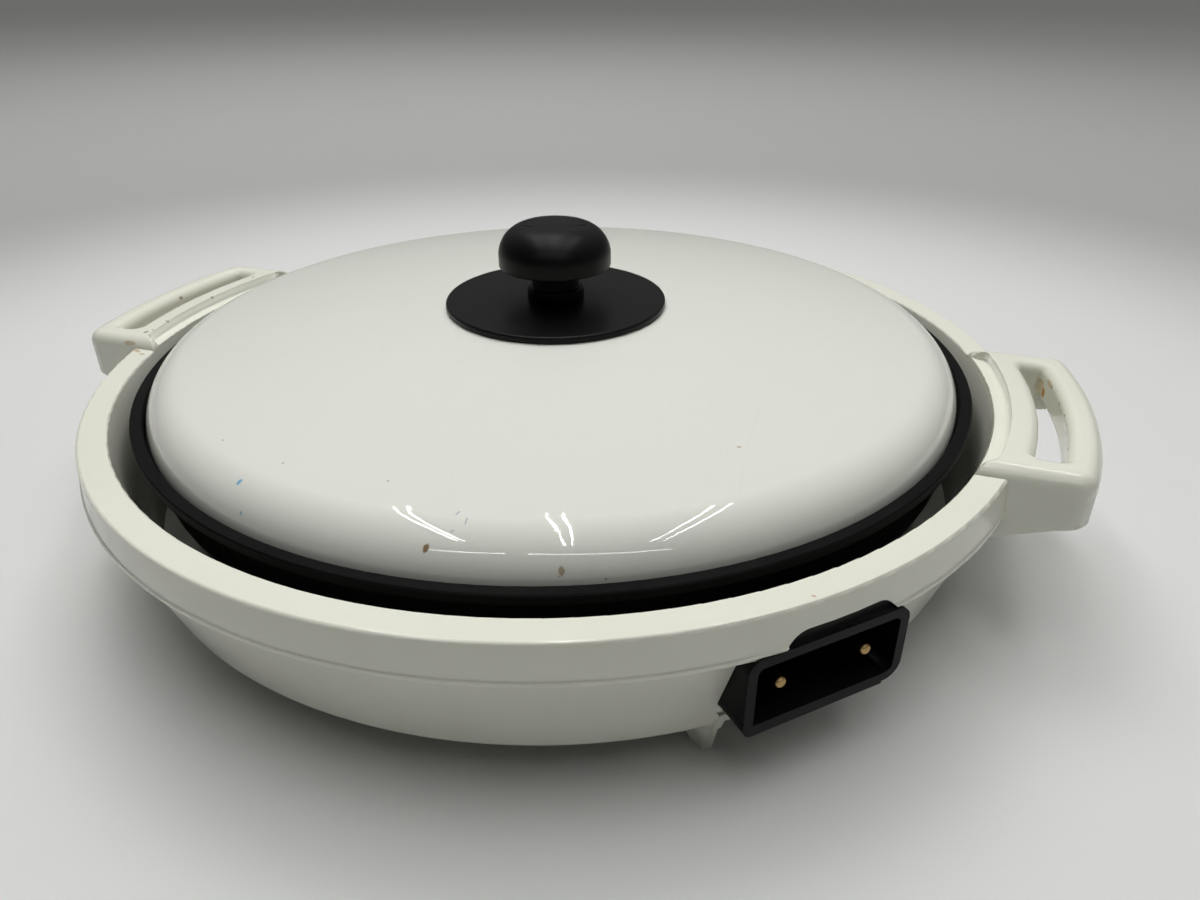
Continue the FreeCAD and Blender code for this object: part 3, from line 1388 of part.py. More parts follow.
def element_leg(side, rise, stop):
    """Edges from the pin's root down to the ring, on one side of the inlet, and the end on the ring."""
    ring = float(d.ring_radius)
    bend = float(d.leg_bend)
    y = float(d.pin_half) * side
    centre_y = y + bend * side
    centre = Vector(math.sqrt((ring + bend) ** 2 - centre_y ** 2), centre_y, 0)
    touch = centre * (ring / (ring + bend))
    straight = Vector(centre.x, y, 0)
    rise_bend = float(d.rise_bend)
    tangent = rise_bend * math.tan(math.radians(22.5))
    start = stop - float(d.leg_end) - tangent - rise
    lift = math.sqrt(0.5) * tangent
    low_in = Vector(start - tangent, y, 0)
    low_out = Vector(start + lift, y, lift)
    high_in = Vector(start + rise - lift, y, rise - lift)
    high_out = Vector(start + rise + tangent, y, rise)
    low_middle = bend_middle(Vector(low_in.x, y, rise_bend), low_in, low_out, rise_bend)
    high_middle = bend_middle(Vector(high_out.x, y, rise - rise_bend), high_in, high_out, rise_bend)
    leg = [
        Part.LineSegment(Vector(stop, y, rise), high_out).toShape(),
        Part.Arc(high_out, high_middle, high_in).toShape(),
        Part.LineSegment(high_in, low_out).toShape(),
        Part.Arc(low_out, low_middle, low_in).toShape(),
        Part.LineSegment(low_in, straight).toShape(),
        Part.Arc(straight, bend_middle(centre, straight, touch, bend), touch).toShape(),
    ]
    return leg, touch


def bend_middle(centre, start, stop, radius):
    """The point half way along a bend."""
    half_way = (start + stop) * 0.5 - centre
    return centre + half_way.normalize() * radius


def make_reflector():
    """Bright sheet that rests on the floor's two ribs, open round the spacers."""
    body = new_body("reflector_body")
    low = base_floor_top + d.rib_rise + d.seat_gap
    hole = d.spacer_radius + d.side_gap + d.slip
    face = circle_sketch(body, "reflector_face", "XY_Plane", [(0, 0, d.reflector_radius)], shift=low)
    pad(body, face, d.reflector_thick)
    hole_face = circle_sketch(body, "reflector_hole", "XY_Plane", [
        (d.pan_boss_place * cosine(45), d.pan_boss_place * sine(45), hole),
    ], shift=low - d.over)
    opening = pocket(body, hole_face, d.reflector_thick + d.over * 2, reverse=True)
    polar(body, [opening], d.pan_boss_count)
    keep("reflector_plate", body)


def make_spacers():
    """Tubes that stand on the base floor and carry the pan's bosses."""
    body = new_body("spacer_body")
    low = base_floor_top + d.slip / 2
    high = d.pan_under - d.pan_boss_drop - d.slip / 2
    x = d.pan_boss_place * cosine(45)
    y = d.pan_boss_place * sine(45)
    face = circle_sketch(body, "spacer_face", "XY_Plane", [
        (x, y, d.spacer_radius),
        (x, y, d.spacer_radius - d.spacer_wall),
    ], shift=low)
    tube = pad(body, face, high - low)
    polar(body, [tube], d.pan_boss_count)
    keep("pan_spacers", body)
    length = d.pan_under + d.pan_floor - d.hole_skin - d.tip_room - d.base_under
    screws("pan_screws", d.pan_boss_place, [45], d.pan_boss_count, d.base_under - d.slip / 2, length,
           d.large_screw_radius, d.large_head_radius, d.large_head)


def make_rim_screws():
    length = liner_floor_top + d.liner_boss_rise - d.hole_skin - d.tip_room - d.base_under
    screws("liner_screws", d.liner_screw_place, [0], d.liner_screw_count, d.base_under - d.slip / 2, length,
           d.small_screw_radius, d.small_head_radius, d.small_head)
    azimuth = math.degrees(math.asin(float(d.handle_screw_half) / float(d.handle_screw_radius)))
    turn = Size(azimuth, f"asin({d.handle_screw_half.text} / {d.handle_screw_radius.text})")
    seat = joggle_top - d.rim_plate - d.slip / 2
    screws("handle_screws", d.handle_screw_radius, [turn, -turn], sized(2), seat,
           handle_hole_top - d.tip_room - seat, d.small_screw_radius, d.small_head_radius, d.small_head)


def check_and_write():
    """Every object must be sound before any file is written."""
    doc.recompute()
    faults = []
    for item in doc.Objects:
        if "Invalid" in item.State or "Error" in item.State:
            faults.append(f"{item.Name}: {item.State}")
    for name, item in nodes.items():
        if item.Shape.isNull() or not item.Shape.isValid() or not item.Shape.Solids:
            faults.append(f"{name}: no valid solid")
    if faults:
        raise RuntimeError("; ".join(faults))
    os.makedirs("parts", exist_ok=True)
    for name, item in nodes.items():
        item.Shape.exportStep(f"parts/{name}.step")
        print(f"{name}: {len(item.Shape.Solids)} solids, {item.Shape.Volume / 1000:.1f} cm3")


notch_tool = make_notches()
window_tool = make_inlet_window()
make_rim_liner(notch_tool, window_tool)
make_base_shell(window_tool)
make_handle()
make_pan()
make_element()
make_element_clamps()
make_spacers()
make_reflector()
make_rim_screws()
make_lid()
make_knob_disc()
make_knob()
make_knob_fastener()
make_inlet()
check_and_write()
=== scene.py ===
import json
import math

import bmesh
import bpy
from mathutils import Matrix, Vector

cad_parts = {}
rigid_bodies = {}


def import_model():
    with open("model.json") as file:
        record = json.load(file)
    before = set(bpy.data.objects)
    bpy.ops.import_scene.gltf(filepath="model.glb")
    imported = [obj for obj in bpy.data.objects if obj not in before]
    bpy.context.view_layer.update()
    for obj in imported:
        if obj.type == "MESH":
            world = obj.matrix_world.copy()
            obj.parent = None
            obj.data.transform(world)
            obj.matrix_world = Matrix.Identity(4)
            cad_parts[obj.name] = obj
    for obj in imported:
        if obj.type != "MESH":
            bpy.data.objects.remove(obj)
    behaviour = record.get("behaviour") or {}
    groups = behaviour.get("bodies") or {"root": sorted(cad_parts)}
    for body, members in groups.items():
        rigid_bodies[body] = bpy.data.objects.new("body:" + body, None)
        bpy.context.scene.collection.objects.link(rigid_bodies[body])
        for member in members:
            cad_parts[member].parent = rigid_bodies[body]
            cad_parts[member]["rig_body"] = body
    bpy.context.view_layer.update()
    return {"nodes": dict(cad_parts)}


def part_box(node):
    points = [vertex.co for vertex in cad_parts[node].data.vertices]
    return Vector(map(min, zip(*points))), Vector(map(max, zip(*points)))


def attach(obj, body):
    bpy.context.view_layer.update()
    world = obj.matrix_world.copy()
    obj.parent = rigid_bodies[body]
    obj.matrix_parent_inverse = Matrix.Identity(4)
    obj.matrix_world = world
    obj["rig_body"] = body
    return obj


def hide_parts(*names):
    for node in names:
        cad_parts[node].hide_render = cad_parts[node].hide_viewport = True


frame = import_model()
cadNodes = frame["nodes"]
scene = bpy.context.scene
print("frame loaded,", len(cadNodes), "nodes")

mm = 0.001
inletAzimuth = math.radians(-45)
mergeDistance = 2e-6  # corners nearer than this are one
flatAngle = math.radians(0.4)  # faces that meet at less than this are one
# Edges above these angles stay sharp
sharpAngle = {"copied": math.radians(28), "turned": math.radians(40), "screws": math.radians(35)}


# One node, its inputs linked to sockets or set to plain values
def addNode(tree, kind, inputs=None, **settings):
    node = tree.nodes.new(kind)
    for name, value in settings.items():
        setattr(node, name, value)
    for name, value in (inputs or {}).items():
        if isinstance(value, bpy.types.NodeSocket):
            tree.links.new(value, node.inputs[name])
        else:
            node.inputs[name].default_value = value
    return node


def addMath(tree, operation, first, second=0.0, third=0.0, clamp=False):
    inputs = {0: first, 1: second, 2: third}
    return addNode(tree, "ShaderNodeMath", inputs, operation=operation, use_clamp=clamp).outputs[0]


def addVectorMath(tree, operation, first, second=(0, 0, 0)):
    return addNode(tree, "ShaderNodeVectorMath", {0: first, 1: second}, operation=operation)


def mixColour(tree, share, first, second):
    return addNode(tree, "ShaderNodeMix", {0: share, 6: first, 7: second}, data_type="RGBA").outputs[2]


def objectPlace(tree):
    return addNode(tree, "ShaderNodeTexCoord").outputs["Object"]


def opaque(colour):
    return (*colour, 1)


def newGroup(name, kind, inputs, outputs):
    tree = bpy.data.node_groups.new(name, kind)
    for socketName, socketKind, value in inputs:
        kindName = "NodeSocket" + socketKind
        socket = tree.interface.new_socket(name=socketName, in_out="INPUT", socket_type=kindName)
        if value is not None:
            socket.default_value = value
    for socketName, socketKind in outputs:
        kindName = "NodeSocket" + socketKind
        tree.interface.new_socket(name=socketName, in_out="OUTPUT", socket_type=kindName)
    return tree, tree.nodes.new("NodeGroupInput"), tree.nodes.new("NodeGroupOutput")


# Shader groups that several finishes share, each with its own values above it
spotEdge = {"scale": 1.6, "detail": 3.0, "centre": 0.5, "sharpness": 3.0}


def makeSpotGroup():  # one ragged stain at a place on the object
    tree, given, result = newGroup("spotMask", "ShaderNodeTree", [
        ("Centre", "Vector", (0, 0, 0)), ("Turn", "Float", 0.0),
        ("Size", "Vector", (0.003, 0.003, 0.003)), ("Ragged", "Float", 0.8), ("Seed", "Float", 0.0)],
        [("Mask", "Float")])
    offset = addVectorMath(tree, "SUBTRACT", objectPlace(tree), given.outputs["Centre"])
    turned = addNode(tree, "ShaderNodeVectorRotate", {
        "Vector": offset.outputs[0], "Angle": given.outputs["Turn"]}, rotation_type="Z_AXIS")
    scaled = addVectorMath(tree, "DIVIDE", turned.outputs[0], given.outputs["Size"])
    noise = addNode(tree, "ShaderNodeTexNoise", {
        "Vector": scaled.outputs[0], "W": given.outputs["Seed"], "Scale": spotEdge["scale"],
        "Detail": spotEdge["detail"]}, noise_dimensions="4D")
    reach = addVectorMath(tree, "LENGTH", scaled.outputs[0]).outputs["Value"]
    wobble = addMath(tree, "MULTIPLY_ADD", noise.outputs["Fac"], given.outputs["Ragged"], reach)
    edge = addMath(tree, "MULTIPLY_ADD", given.outputs["Ragged"], spotEdge["centre"], 1.0)
    inside = addMath(tree, "SUBTRACT", edge, wobble)
    mask = addMath(tree, "MULTIPLY", inside, spotEdge["sharpness"], clamp=True)
    tree.links.new(mask, result.inputs["Mask"])
    return tree


ageing = {"patchFrom": 0.42, "patchTo": 0.78, "speckScale": 650.0, "speckLimit": 0.74, "speckShare": 0.25,
          "smudgeScale": 38.0, "smudgeTwist": 0.8}


def makeAgedGroup():  # soft patches of another colour, fine dust specks and smudges in the gloss
    tree, given, result = newGroup("agedColour", "ShaderNodeTree", [
        ("Colour", "Color", (0.8, 0.8, 0.72, 1)), ("Aged Colour", "Color", (0.7, 0.68, 0.55, 1)),
        ("Amount", "Float", 0.3), ("Patch Scale", "Float", 14.0), ("Roughness", "Float", 0.2),
        ("Smudge", "Float", 0.1)], [("Colour", "Color"), ("Roughness", "Float")])
    place = objectPlace(tree)
    patches = addNode(tree, "ShaderNodeTexNoise", {
        "Vector": place, "Scale": given.outputs["Patch Scale"], "Detail": 5.0, "Roughness": 0.6})
    specks = addNode(tree, "ShaderNodeTexNoise", {
        "Vector": place, "Scale": ageing["speckScale"], "Detail": 2.0})
    speckMask = addMath(tree, "GREATER_THAN", specks.outputs["Fac"], ageing["speckLimit"])
    patchMask = addNode(tree, "ShaderNodeMapRange", {
        "Value": patches.outputs["Fac"], "From Min": ageing["patchFrom"],
        "From Max": ageing["patchTo"]})
    both = addMath(tree, "MULTIPLY_ADD", speckMask, ageing["speckShare"], patchMask.outputs[0])
    amount = addMath(tree, "MULTIPLY", both, given.outputs["Amount"], clamp=True)
    colour = mixColour(tree, amount, given.outputs["Colour"], given.outputs["Aged Colour"])
    smudges = addNode(tree, "ShaderNodeTexNoise", {
        "Vector": place, "Scale": ageing["smudgeScale"], "Detail": 4.0,
        "Distortion": ageing["smudgeTwist"]})
    centred = addMath(tree, "SUBTRACT", smudges.outputs["Fac"], 0.5)
    rough = addMath(tree, "MULTIPLY_ADD", centred, given.outputs["Smudge"], given.outputs["Roughness"])
    tree.links.new(colour, result.inputs["Colour"])
    tree.links.new(rough, result.inputs["Roughness"])
    return tree


def makeGrainGroup():  # moulded or cast grain of two sizes, as a height
    tree, given, result = newGroup("surfaceGrain", "ShaderNodeTree", [
        ("Fine Scale", "Float", 1500.0), ("Coarse Scale", "Float", 60.0), ("Coarse Share", "Float", 0.3),
    ], [("Height", "Float")])
    place = objectPlace(tree)
    fine = addNode(tree, "ShaderNodeTexNoise", {
        "Vector": place, "Scale": given.outputs["Fine Scale"], "Detail": 2.0})
    coarse = addNode(tree, "ShaderNodeTexNoise", {
        "Vector": place, "Scale": given.outputs["Coarse Scale"], "Detail": 1.0})
    mixed = addNode(tree, "ShaderNodeMix", {
        0: given.outputs["Coarse Share"], 2: fine.outputs["Fac"], 3: coarse.outputs["Fac"]})
    tree.links.new(mixed.outputs[0], result.inputs["Height"])
    return tree


# Scratches are the borders of stretched cells, shown where a noise is high enough
scratch = {
    "ways": ((0.4, 0.05), (1.5, 0.04), (2.5, 0.06)), "shift": 0.37, "cells": 12.0, "width": 0.006,
    "breakScale": 21.0, "breakStep": 5, "limit": 0.75, "limitPerDensity": -0.4,
}


def makeHairlineGroup():  # thin scratches in several directions
    tree, given, result = newGroup("hairlines", "ShaderNodeTree", [
        ("Scale", "Float", 9.0), ("Density", "Float", 0.5)], [("Mask", "Float")])
    place = objectPlace(tree)
    total = None
    for index, (turn, stretch) in enumerate(scratch["ways"]):
        mapped = addNode(tree, "ShaderNodeMapping", {
            "Vector": place, "Location": (index * scratch["shift"], 0.1, 0), "Rotation": (0, 0, turn),
            "Scale": (1, stretch, 1)})
        cells = addNode(tree, "ShaderNodeTexVoronoi", {
            "Vector": mapped.outputs[0],
            "Scale": addMath(tree, "MULTIPLY", given.outputs["Scale"], scratch["cells"])},
            feature="DISTANCE_TO_EDGE")
        line = addMath(tree, "LESS_THAN", cells.outputs["Distance"], scratch["width"])
        breaks = addNode(tree, "ShaderNodeTexNoise", {
            "Vector": place, "Scale": scratch["breakScale"] + index * scratch["breakStep"], "Detail": 1.0})
        limit = addMath(tree, "MULTIPLY_ADD", given.outputs["Density"], scratch["limitPerDensity"],
                        scratch["limit"])
        shown = addMath(tree, "GREATER_THAN", breaks.outputs["Fac"], limit)
        part = addMath(tree, "MULTIPLY", line, shown)
        total = part if total is None else addMath(tree, "MAXIMUM", total, part)
    tree.links.new(total, result.inputs["Mask"])
    return tree


spotGroup = makeSpotGroup()
agedGroup = makeAgedGroup()
grainGroup = makeGrainGroup()
hairlineGroup = makeHairlineGroup()


def useGroup(tree, group, inputs):
    return addNode(tree, "ShaderNodeGroup", inputs, node_tree=group)


def newMaterial(name, shader):
    material = bpy.data.materials.new(name)
    material.use_nodes = True
    tree = material.node_tree
    base = tree.nodes["Principled BSDF"]
    for socket, value in shader.items():
        base.inputs[socket].default_value = value
    return material, tree, base


def addSpots(tree, colour, spots):  # spots are places, turns, sizes and colours laid over a base colour
    for index, spot in enumerate(spots):
        mask = useGroup(tree, spotGroup, {
            "Centre": spot["at"], "Turn": spot.get("turn", 0.0), "Size": spot["size"],
            "Seed": index * 1.7})
        share = addMath(tree, "MULTIPLY", mask.outputs["Mask"], spot.get("share", 0.9))
        colour = mixColour(tree, share, colour, opaque(spot["colour"]))
    return colour


def addGrain(tree, base, look):
    grain = useGroup(tree, grainGroup, {
        "Fine Scale": look["fine"], "Coarse Scale": look["coarse"], "Coarse Share": look["coarseShare"]})
    bump = addNode(tree, "ShaderNodeBump", {"Height": grain.outputs["Height"], "Distance": look["depth"]})
    tree.links.new(bump.outputs["Normal"], base.inputs["Normal"])


# Painted shade that darkens the inner wall of the rim with depth, inside a radius and below the rim's top
def addPaintedInnerShade(tree, colour, paintedShade):
    axes = addNode(tree, "ShaderNodeSeparateXYZ", {0: objectPlace(tree)})
    flat = addNode(tree, "ShaderNodeCombineXYZ", {"X": axes.outputs["X"], "Y": axes.outputs["Y"]})
    away = addVectorMath(tree, "LENGTH", flat.outputs[0]).outputs["Value"]
    inside = addMath(tree, "LESS_THAN", away, paintedShade["radius"])
    depth = addNode(tree, "ShaderNodeMapRange", {
        "Value": axes.outputs["Z"], "From Min": paintedShade["top"], "From Max": paintedShade["low"],
        "To Max": paintedShade["share"]}, interpolation_type="SMOOTHSTEP")
    share = addMath(tree, "MULTIPLY", inside, depth.outputs[0])
    return mixColour(tree, share, colour, opaque(paintedShade["colour"]))


faintScratches = {"density": 0.35, "share": 0.03, "colour": (0.35, 0.36, 0.36)}


# A coloured finish: plastic, enamel, ceramic or the pan's coating
def makeCoat(name, look, spots=()):
    material, tree, base = newMaterial(name, {"Specular IOR Level": look["specular"]})
    aged = useGroup(tree, agedGroup, {
        "Colour": opaque(look["colour"]), "Aged Colour": opaque(look["aged"]), "Amount": look["amount"],
        "Patch Scale": look["patches"], "Roughness": look["roughness"], "Smudge": look["smudge"]})
    colour = aged.outputs["Colour"]
    if "hairlines" in look:
        lines = useGroup(tree, hairlineGroup, {
            "Scale": look["hairlines"], "Density": faintScratches["density"]})
        share = addMath(tree, "MULTIPLY", lines.outputs["Mask"], faintScratches["share"])
        colour = mixColour(tree, share, colour, opaque(faintScratches["colour"]))
    colour = addSpots(tree, colour, spots)
    # painted shade on the rim's inner wall, darker with depth
    if "paintedShade" in look:
        colour = addPaintedInnerShade(tree, colour, look["paintedShade"])
    tree.links.new(colour, base.inputs["Base Color"])
    tree.links.new(aged.outputs["Roughness"], base.inputs["Roughness"])
    addGrain(tree, base, look)
    return material


metalGrain = {"fine": 2500.0, "coarse": 120.0, "coarseShare": 0.4, "depth": 0.00003}
metalWear = {"scratchDensity": 0.8, "scratchRoughness": 0.15, "tarnishRoughness": 0.2}


def makeMetal(name, look):
    material, tree, base = newMaterial(name, {"Metallic": 1.0})
    place = objectPlace(tree)
    tarnish = addNode(tree, "ShaderNodeTexNoise", {
        "Vector": place, "Scale": look["patches"], "Detail": 4.0})
    colour = mixColour(tree, tarnish.outputs["Fac"], opaque(look["colour"]), opaque(look["dull"]))
    lines = useGroup(tree, hairlineGroup, {
        "Scale": look["hairlines"], "Density": metalWear["scratchDensity"]})
    rough = addMath(tree, "MULTIPLY_ADD", tarnish.outputs["Fac"], metalWear["tarnishRoughness"],
                    look["roughness"])
    rougher = addMath(tree, "MULTIPLY_ADD", lines.outputs["Mask"], metalWear["scratchRoughness"], rough)
    # Painted shade along a pin's shaft, with the bright colour kept only at its tip
    if "paintedShaftShade" in look:
        along = addVectorMath(tree, "DOT_PRODUCT", place, look["direction"])
        tip = addNode(tree, "ShaderNodeMapRange", {
            "Value": along.outputs["Value"], "From Min": look["tipFrom"], "From Max": look["tipTo"]})
        colour = mixColour(tree, tip.outputs[0], opaque(look["paintedShaftShade"]), colour)
    tree.links.new(colour, base.inputs["Base Color"])
    tree.links.new(rougher, base.inputs["Roughness"])
    addGrain(tree, base, metalGrain)
    return material


# Marks of use, each at its place on the lid
lidMarks = [
    {"at": (0.0231, -0.1705, 0.0796), "size": (0.0010, 0.0017, 0.0018),
     "colour": (0.20, 0.11, 0.03), "turn": 0.3},
    {"at": (0.0635, -0.1629, 0.0751), "size": (0.0011, 0.0013, 0.0019),
     "colour": (0.30, 0.21, 0.09), "share": 0.7},
    {"at": (0.0628, -0.1634, 0.0735), "size": (0.0005, 0.0005, 0.0005), "colour": (0.20, 0.14, 0.08)},
    {"at": (0.0281, -0.1581, 0.0854), "size": (0.0003, 0.0014, 0.0014),
     "colour": (0.34, 0.39, 0.43), "turn": 0.2},
    {"at": (0.0320, -0.1605, 0.0848), "size": (0.0003, 0.0020, 0.0012),
     "colour": (0.38, 0.43, 0.46), "turn": -0.2},
    {"at": (0.0293, -0.1648, 0.0833), "size": (0.0003, 0.0009, 0.0009),
     "colour": (0.40, 0.43, 0.45), "turn": 0.7},
    {"at": (-0.0505, -0.1604, 0.0828), "size": (0.0009, 0.0016, 0.0012),
     "colour": (0.16, 0.42, 0.62), "turn": 0.6},
    {"at": (-0.0453, -0.1681, 0.0765), "size": (0.0006, 0.0008, 0.0008), "colour": (0.26, 0.48, 0.62)},
    {"at": (0.1024, -0.0948, 0.0879), "size": (0.0009, 0.0008, 0.0010),
     "colour": (0.42, 0.34, 0.22), "share": 0.7},
    {"at": (-0.0006, -0.1500, 0.0867), "size": (0.0005, 0.0005, 0.0005), "colour": (0.45, 0.38, 0.26)},
    {"at": (-0.0404, -0.1498, 0.0860), "size": (0.0005, 0.0006, 0.0005), "colour": (0.46, 0.38, 0.25)},
    {"at": (-0.0708, -0.1421, 0.0856), "size": (0.0006, 0.0005, 0.0005), "colour": (0.48, 0.40, 0.27)},
    {"at": (0.0759, -0.1586, 0.0721), "size": (0.0004, 0.0004, 0.0005), "colour": (0.40, 0.28, 0.16)},
]

# On the handles: a brown stain and two streaks on the right one, specks on the left one
handleMarks = [
    {"at": (0.2125, 0.0405, 0.0650), "size": (0.0040, 0.0050, 0.0040),
     "colour": (0.62, 0.42, 0.14), "share": 0.5},
    {"at": (0.2133, 0.0372, 0.0645), "size": (0.0018, 0.0022, 0.0022),
     "colour": (0.45, 0.15, 0.01), "share": 1.0},
    {"at": (0.2140, 0.0325, 0.0712), "size": (0.0020, 0.0044, 0.0012),
     "colour": (0.50, 0.36, 0.16), "share": 0.6},
    {"at": (0.2122, 0.0420, 0.0680), "size": (0.0020, 0.0030, 0.0010),
     "colour": (0.50, 0.36, 0.16), "share": 0.6},
    {"at": (-0.1961, 0.0031, 0.0750), "size": (0.0012, 0.0010, 0.0012), "colour": (0.26, 0.22, 0.14)},
    {"at": (-0.1938, -0.0328, 0.0750), "size": (0.0014, 0.0008, 0.0012), "colour": (0.28, 0.22, 0.13)},
    {"at": (-0.1930, -0.0478, 0.0750), "size": (0.0010, 0.0018, 0.0012), "colour": (0.26, 0.20, 0.12)},
    {"at": (-0.1917, -0.0446, 0.0750), "size": (0.0007, 0.0009, 0.0012), "colour": (0.28, 0.22, 0.13)},
    {"at": (-0.1964, 0.0375, 0.0750), "size": (0.0012, 0.0008, 0.0012), "colour": (0.28, 0.22, 0.13)},
    {"at": (-0.2168, 0.0030, 0.0722), "size": (0.0012, 0.0014, 0.0012), "colour": (0.34, 0.28, 0.18)},
    {"at": (-0.1958, -0.0561, 0.0722), "size": (0.0040, 0.0012, 0.0014),
     "colour": (0.42, 0.30, 0.14), "share": 0.6},
]

# On the rim: grime beside the left handle and two specks in front
rimMarks = [
    {"at": (-0.1902, -0.0589, 0.0705), "size": (0.0044, 0.0012, 0.0030),
     "colour": (0.40, 0.28, 0.13), "share": 0.7, "turn": 0.4},
    {"at": (-0.1840, -0.0619, 0.0705), "size": (0.0016, 0.0012, 0.0020),
     "colour": (0.44, 0.32, 0.16), "share": 0.6},
    {"at": (0.1354, -0.1453, 0.0705), "size": (0.0009, 0.0004, 0.0008), "colour": (0.45, 0.22, 0.12)},
    {"at": (0.0350, -0.1830, 0.0705), "size": (0.0006, 0.0003, 0.0006), "colour": (0.40, 0.34, 0.24)},
]

# Small brown specks in a wavering row along the inner edge of the right handle's bar
gripSpecks = {
    "count": 9, "reach": 0.2164, "start": 0.0290, "spacing": 0.0072, "sway": 0.0014,
    "height": 0.0712, "rise": 0.0010, "thickness": 0.0007, "length": 0.0009, "stretch": 0.0005,
    "colour": (0.38, 0.27, 0.13), "share": 0.75,
}


def gripGrime():
    marks = []
    for index in range(gripSpecks["count"]):
        sway = gripSpecks["sway"] * math.sin(index * 2.3)
        y = gripSpecks["start"] - gripSpecks["spacing"] * index + sway
        x = math.sqrt(gripSpecks["reach"] ** 2 - y * y)
        z = gripSpecks["height"] + gripSpecks["rise"] * math.sin(index * 1.7)
        length = gripSpecks["length"] + gripSpecks["stretch"] * math.cos(index * 3.1)
        marks.append({"at": (x, y, z), "size": (gripSpecks["thickness"], length, gripSpecks["length"]),
                      "colour": gripSpecks["colour"], "share": gripSpecks["share"]})
    return marks


shellLook = {
    "colour": (0.770, 0.775, 0.675), "aged": (0.68, 0.66, 0.53), "amount": 0.20, "patches": 11.0,
    "roughness": 0.14, "smudge": 0.06, "specular": 0.45,
    "fine": 1100.0, "coarse": 90.0, "coarseShare": 0.5, "depth": 0.00001}
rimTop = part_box("rim_liner")[1].z
# The rim's inner wall gets painted shade, darker towards the bottom of the gap
rimLook = dict(shellLook, paintedShade={
    "radius": 0.1898, "top": rimTop - 0.001, "low": rimTop - 0.026, "share": 0.85,
    "colour": (0.10, 0.10, 0.075)})
lidLook = {
    "colour": (0.745, 0.755, 0.690), "aged": (0.70, 0.69, 0.60), "amount": 0.18, "patches": 9.0,
    "roughness": 0.020, "smudge": 0.012, "specular": 0.5,
    "fine": 520.0, "coarse": 26.0, "coarseShare": 0.8, "depth": 0.00003, "hairlines": 6.0}
ceramicLook = {
    "colour": (0.80, 0.78, 0.72), "aged": (0.5, 0.47, 0.40), "amount": 0.4, "patches": 80.0,
    "roughness": 0.35, "smudge": 0.2, "specular": 0.5,
    "fine": 3000.0, "coarse": 400.0, "coarseShare": 0.3, "depth": 0.00002}
panLook = {
    "colour": (0.0022, 0.0024, 0.0024), "aged": (0.010, 0.010, 0.009), "amount": 0.30, "patches": 30.0,
    "roughness": 0.46, "smudge": 0.16, "specular": 0.09,
    "fine": 1500.0, "coarse": 420.0, "coarseShare": 0.4, "depth": 0.00008}
knobLook = {
    "colour": (0.0016, 0.0018, 0.0018), "aged": (0.012, 0.012, 0.012), "amount": 0.10, "patches": 45.0,
    "roughness": 0.36, "smudge": 0.12, "specular": 0.19,
    "fine": 2600.0, "coarse": 300.0, "coarseShare": 0.4, "depth": 0.00002}
socketLook = {
    "colour": (0.0022, 0.0025, 0.0025), "aged": (0.014, 0.014, 0.013), "amount": 0.15, "patches": 60.0,
    "roughness": 0.42, "smudge": 0.15, "specular": 0.12,
    "fine": 2200.0, "coarse": 260.0, "coarseShare": 0.4, "depth": 0.00003}
brassLook = {
    "colour": (0.66, 0.46, 0.20), "dull": (0.38, 0.26, 0.12), "patches": 240.0, "roughness": 0.30,
    "hairlines": 40.0}
# The pins' shafts carry painted shade, and only their tips keep the bright brass
pinLook = dict(brassLook, paintedShaftShade=(0.045, 0.030, 0.016), tipFrom=0.1990, tipTo=0.1996,
               direction=(math.cos(inletAzimuth), math.sin(inletAzimuth), 0))
sheathLook = {
    "colour": (0.24, 0.22, 0.20), "dull": (0.10, 0.09, 0.085), "patches": 60.0, "roughness": 0.42,
    "hairlines": 20.0}
zincLook = {
    "colour": (0.60, 0.60, 0.58), "dull": (0.34, 0.34, 0.33), "patches": 110.0, "roughness": 0.28,
    "hairlines": 30.0}
sheetLook = {
    "colour": (0.78, 0.78, 0.77), "dull": (0.52, 0.52, 0.50), "patches": 20.0, "roughness": 0.22,
    "hairlines": 8.0}

finish = {
    "shellPlastic": makeCoat("shellPlastic", shellLook),
    "rimPlastic": makeCoat("rimPlastic", rimLook, rimMarks),
    "handlePlastic": makeCoat("handlePlastic", shellLook, handleMarks + gripGrime()),
    "lidEnamel": makeCoat("lidEnamel", lidLook, lidMarks),
    "ceramic": makeCoat("ceramic", ceramicLook),
    "panCoating": makeCoat("panCoating", panLook),
    "knobPlastic": makeCoat("knobPlastic", knobLook),
    "socketPlastic": makeCoat("socketPlastic", socketLook),
    "brass": makeMetal("brass", brassLook),
    "pinBrass": makeMetal("pinBrass", pinLook),
    "sheathSteel": makeMetal("sheathSteel", sheathLook),
    "zincSteel": makeMetal("zincSteel", zincLook),
    "brightSheet": makeMetal("brightSheet", sheetLook),
}
print("finishes made")

# Which finish each CAD node has, also where a Blender piece stands for it
nodeFinish = {
    "rim_liner": "rimPlastic", "base_shell": "shellPlastic", "handle_right": "handlePlastic",
    "handle_left": "handlePlastic", "pan": "panCoating", "lid_dome": "lidEnamel",
    "knob_disc": "knobPlastic", "lid_knob": "knobPlastic",
    "socket_shroud": "socketPlastic", "socket_cover": "socketPlastic",
    "probe_sleeve": "brass", "terminal_pin_left": "pinBrass", "terminal_pin_right": "pinBrass",
    "terminal_insulators": "ceramic", "heating_element": "sheathSteel", "element_clamps": "zincSteel",
    "clamp_screws": "zincSteel", "pan_spacers": "zincSteel", "pan_screws": "zincSteel",
    "reflector_plate": "brightSheet", "liner_screws": "zincSteel", "handle_screws": "zincSteel",
    "socket_screws": "zincSteel", "knob_washer": "zincSteel", "knob_screw": "zincSteel",
}
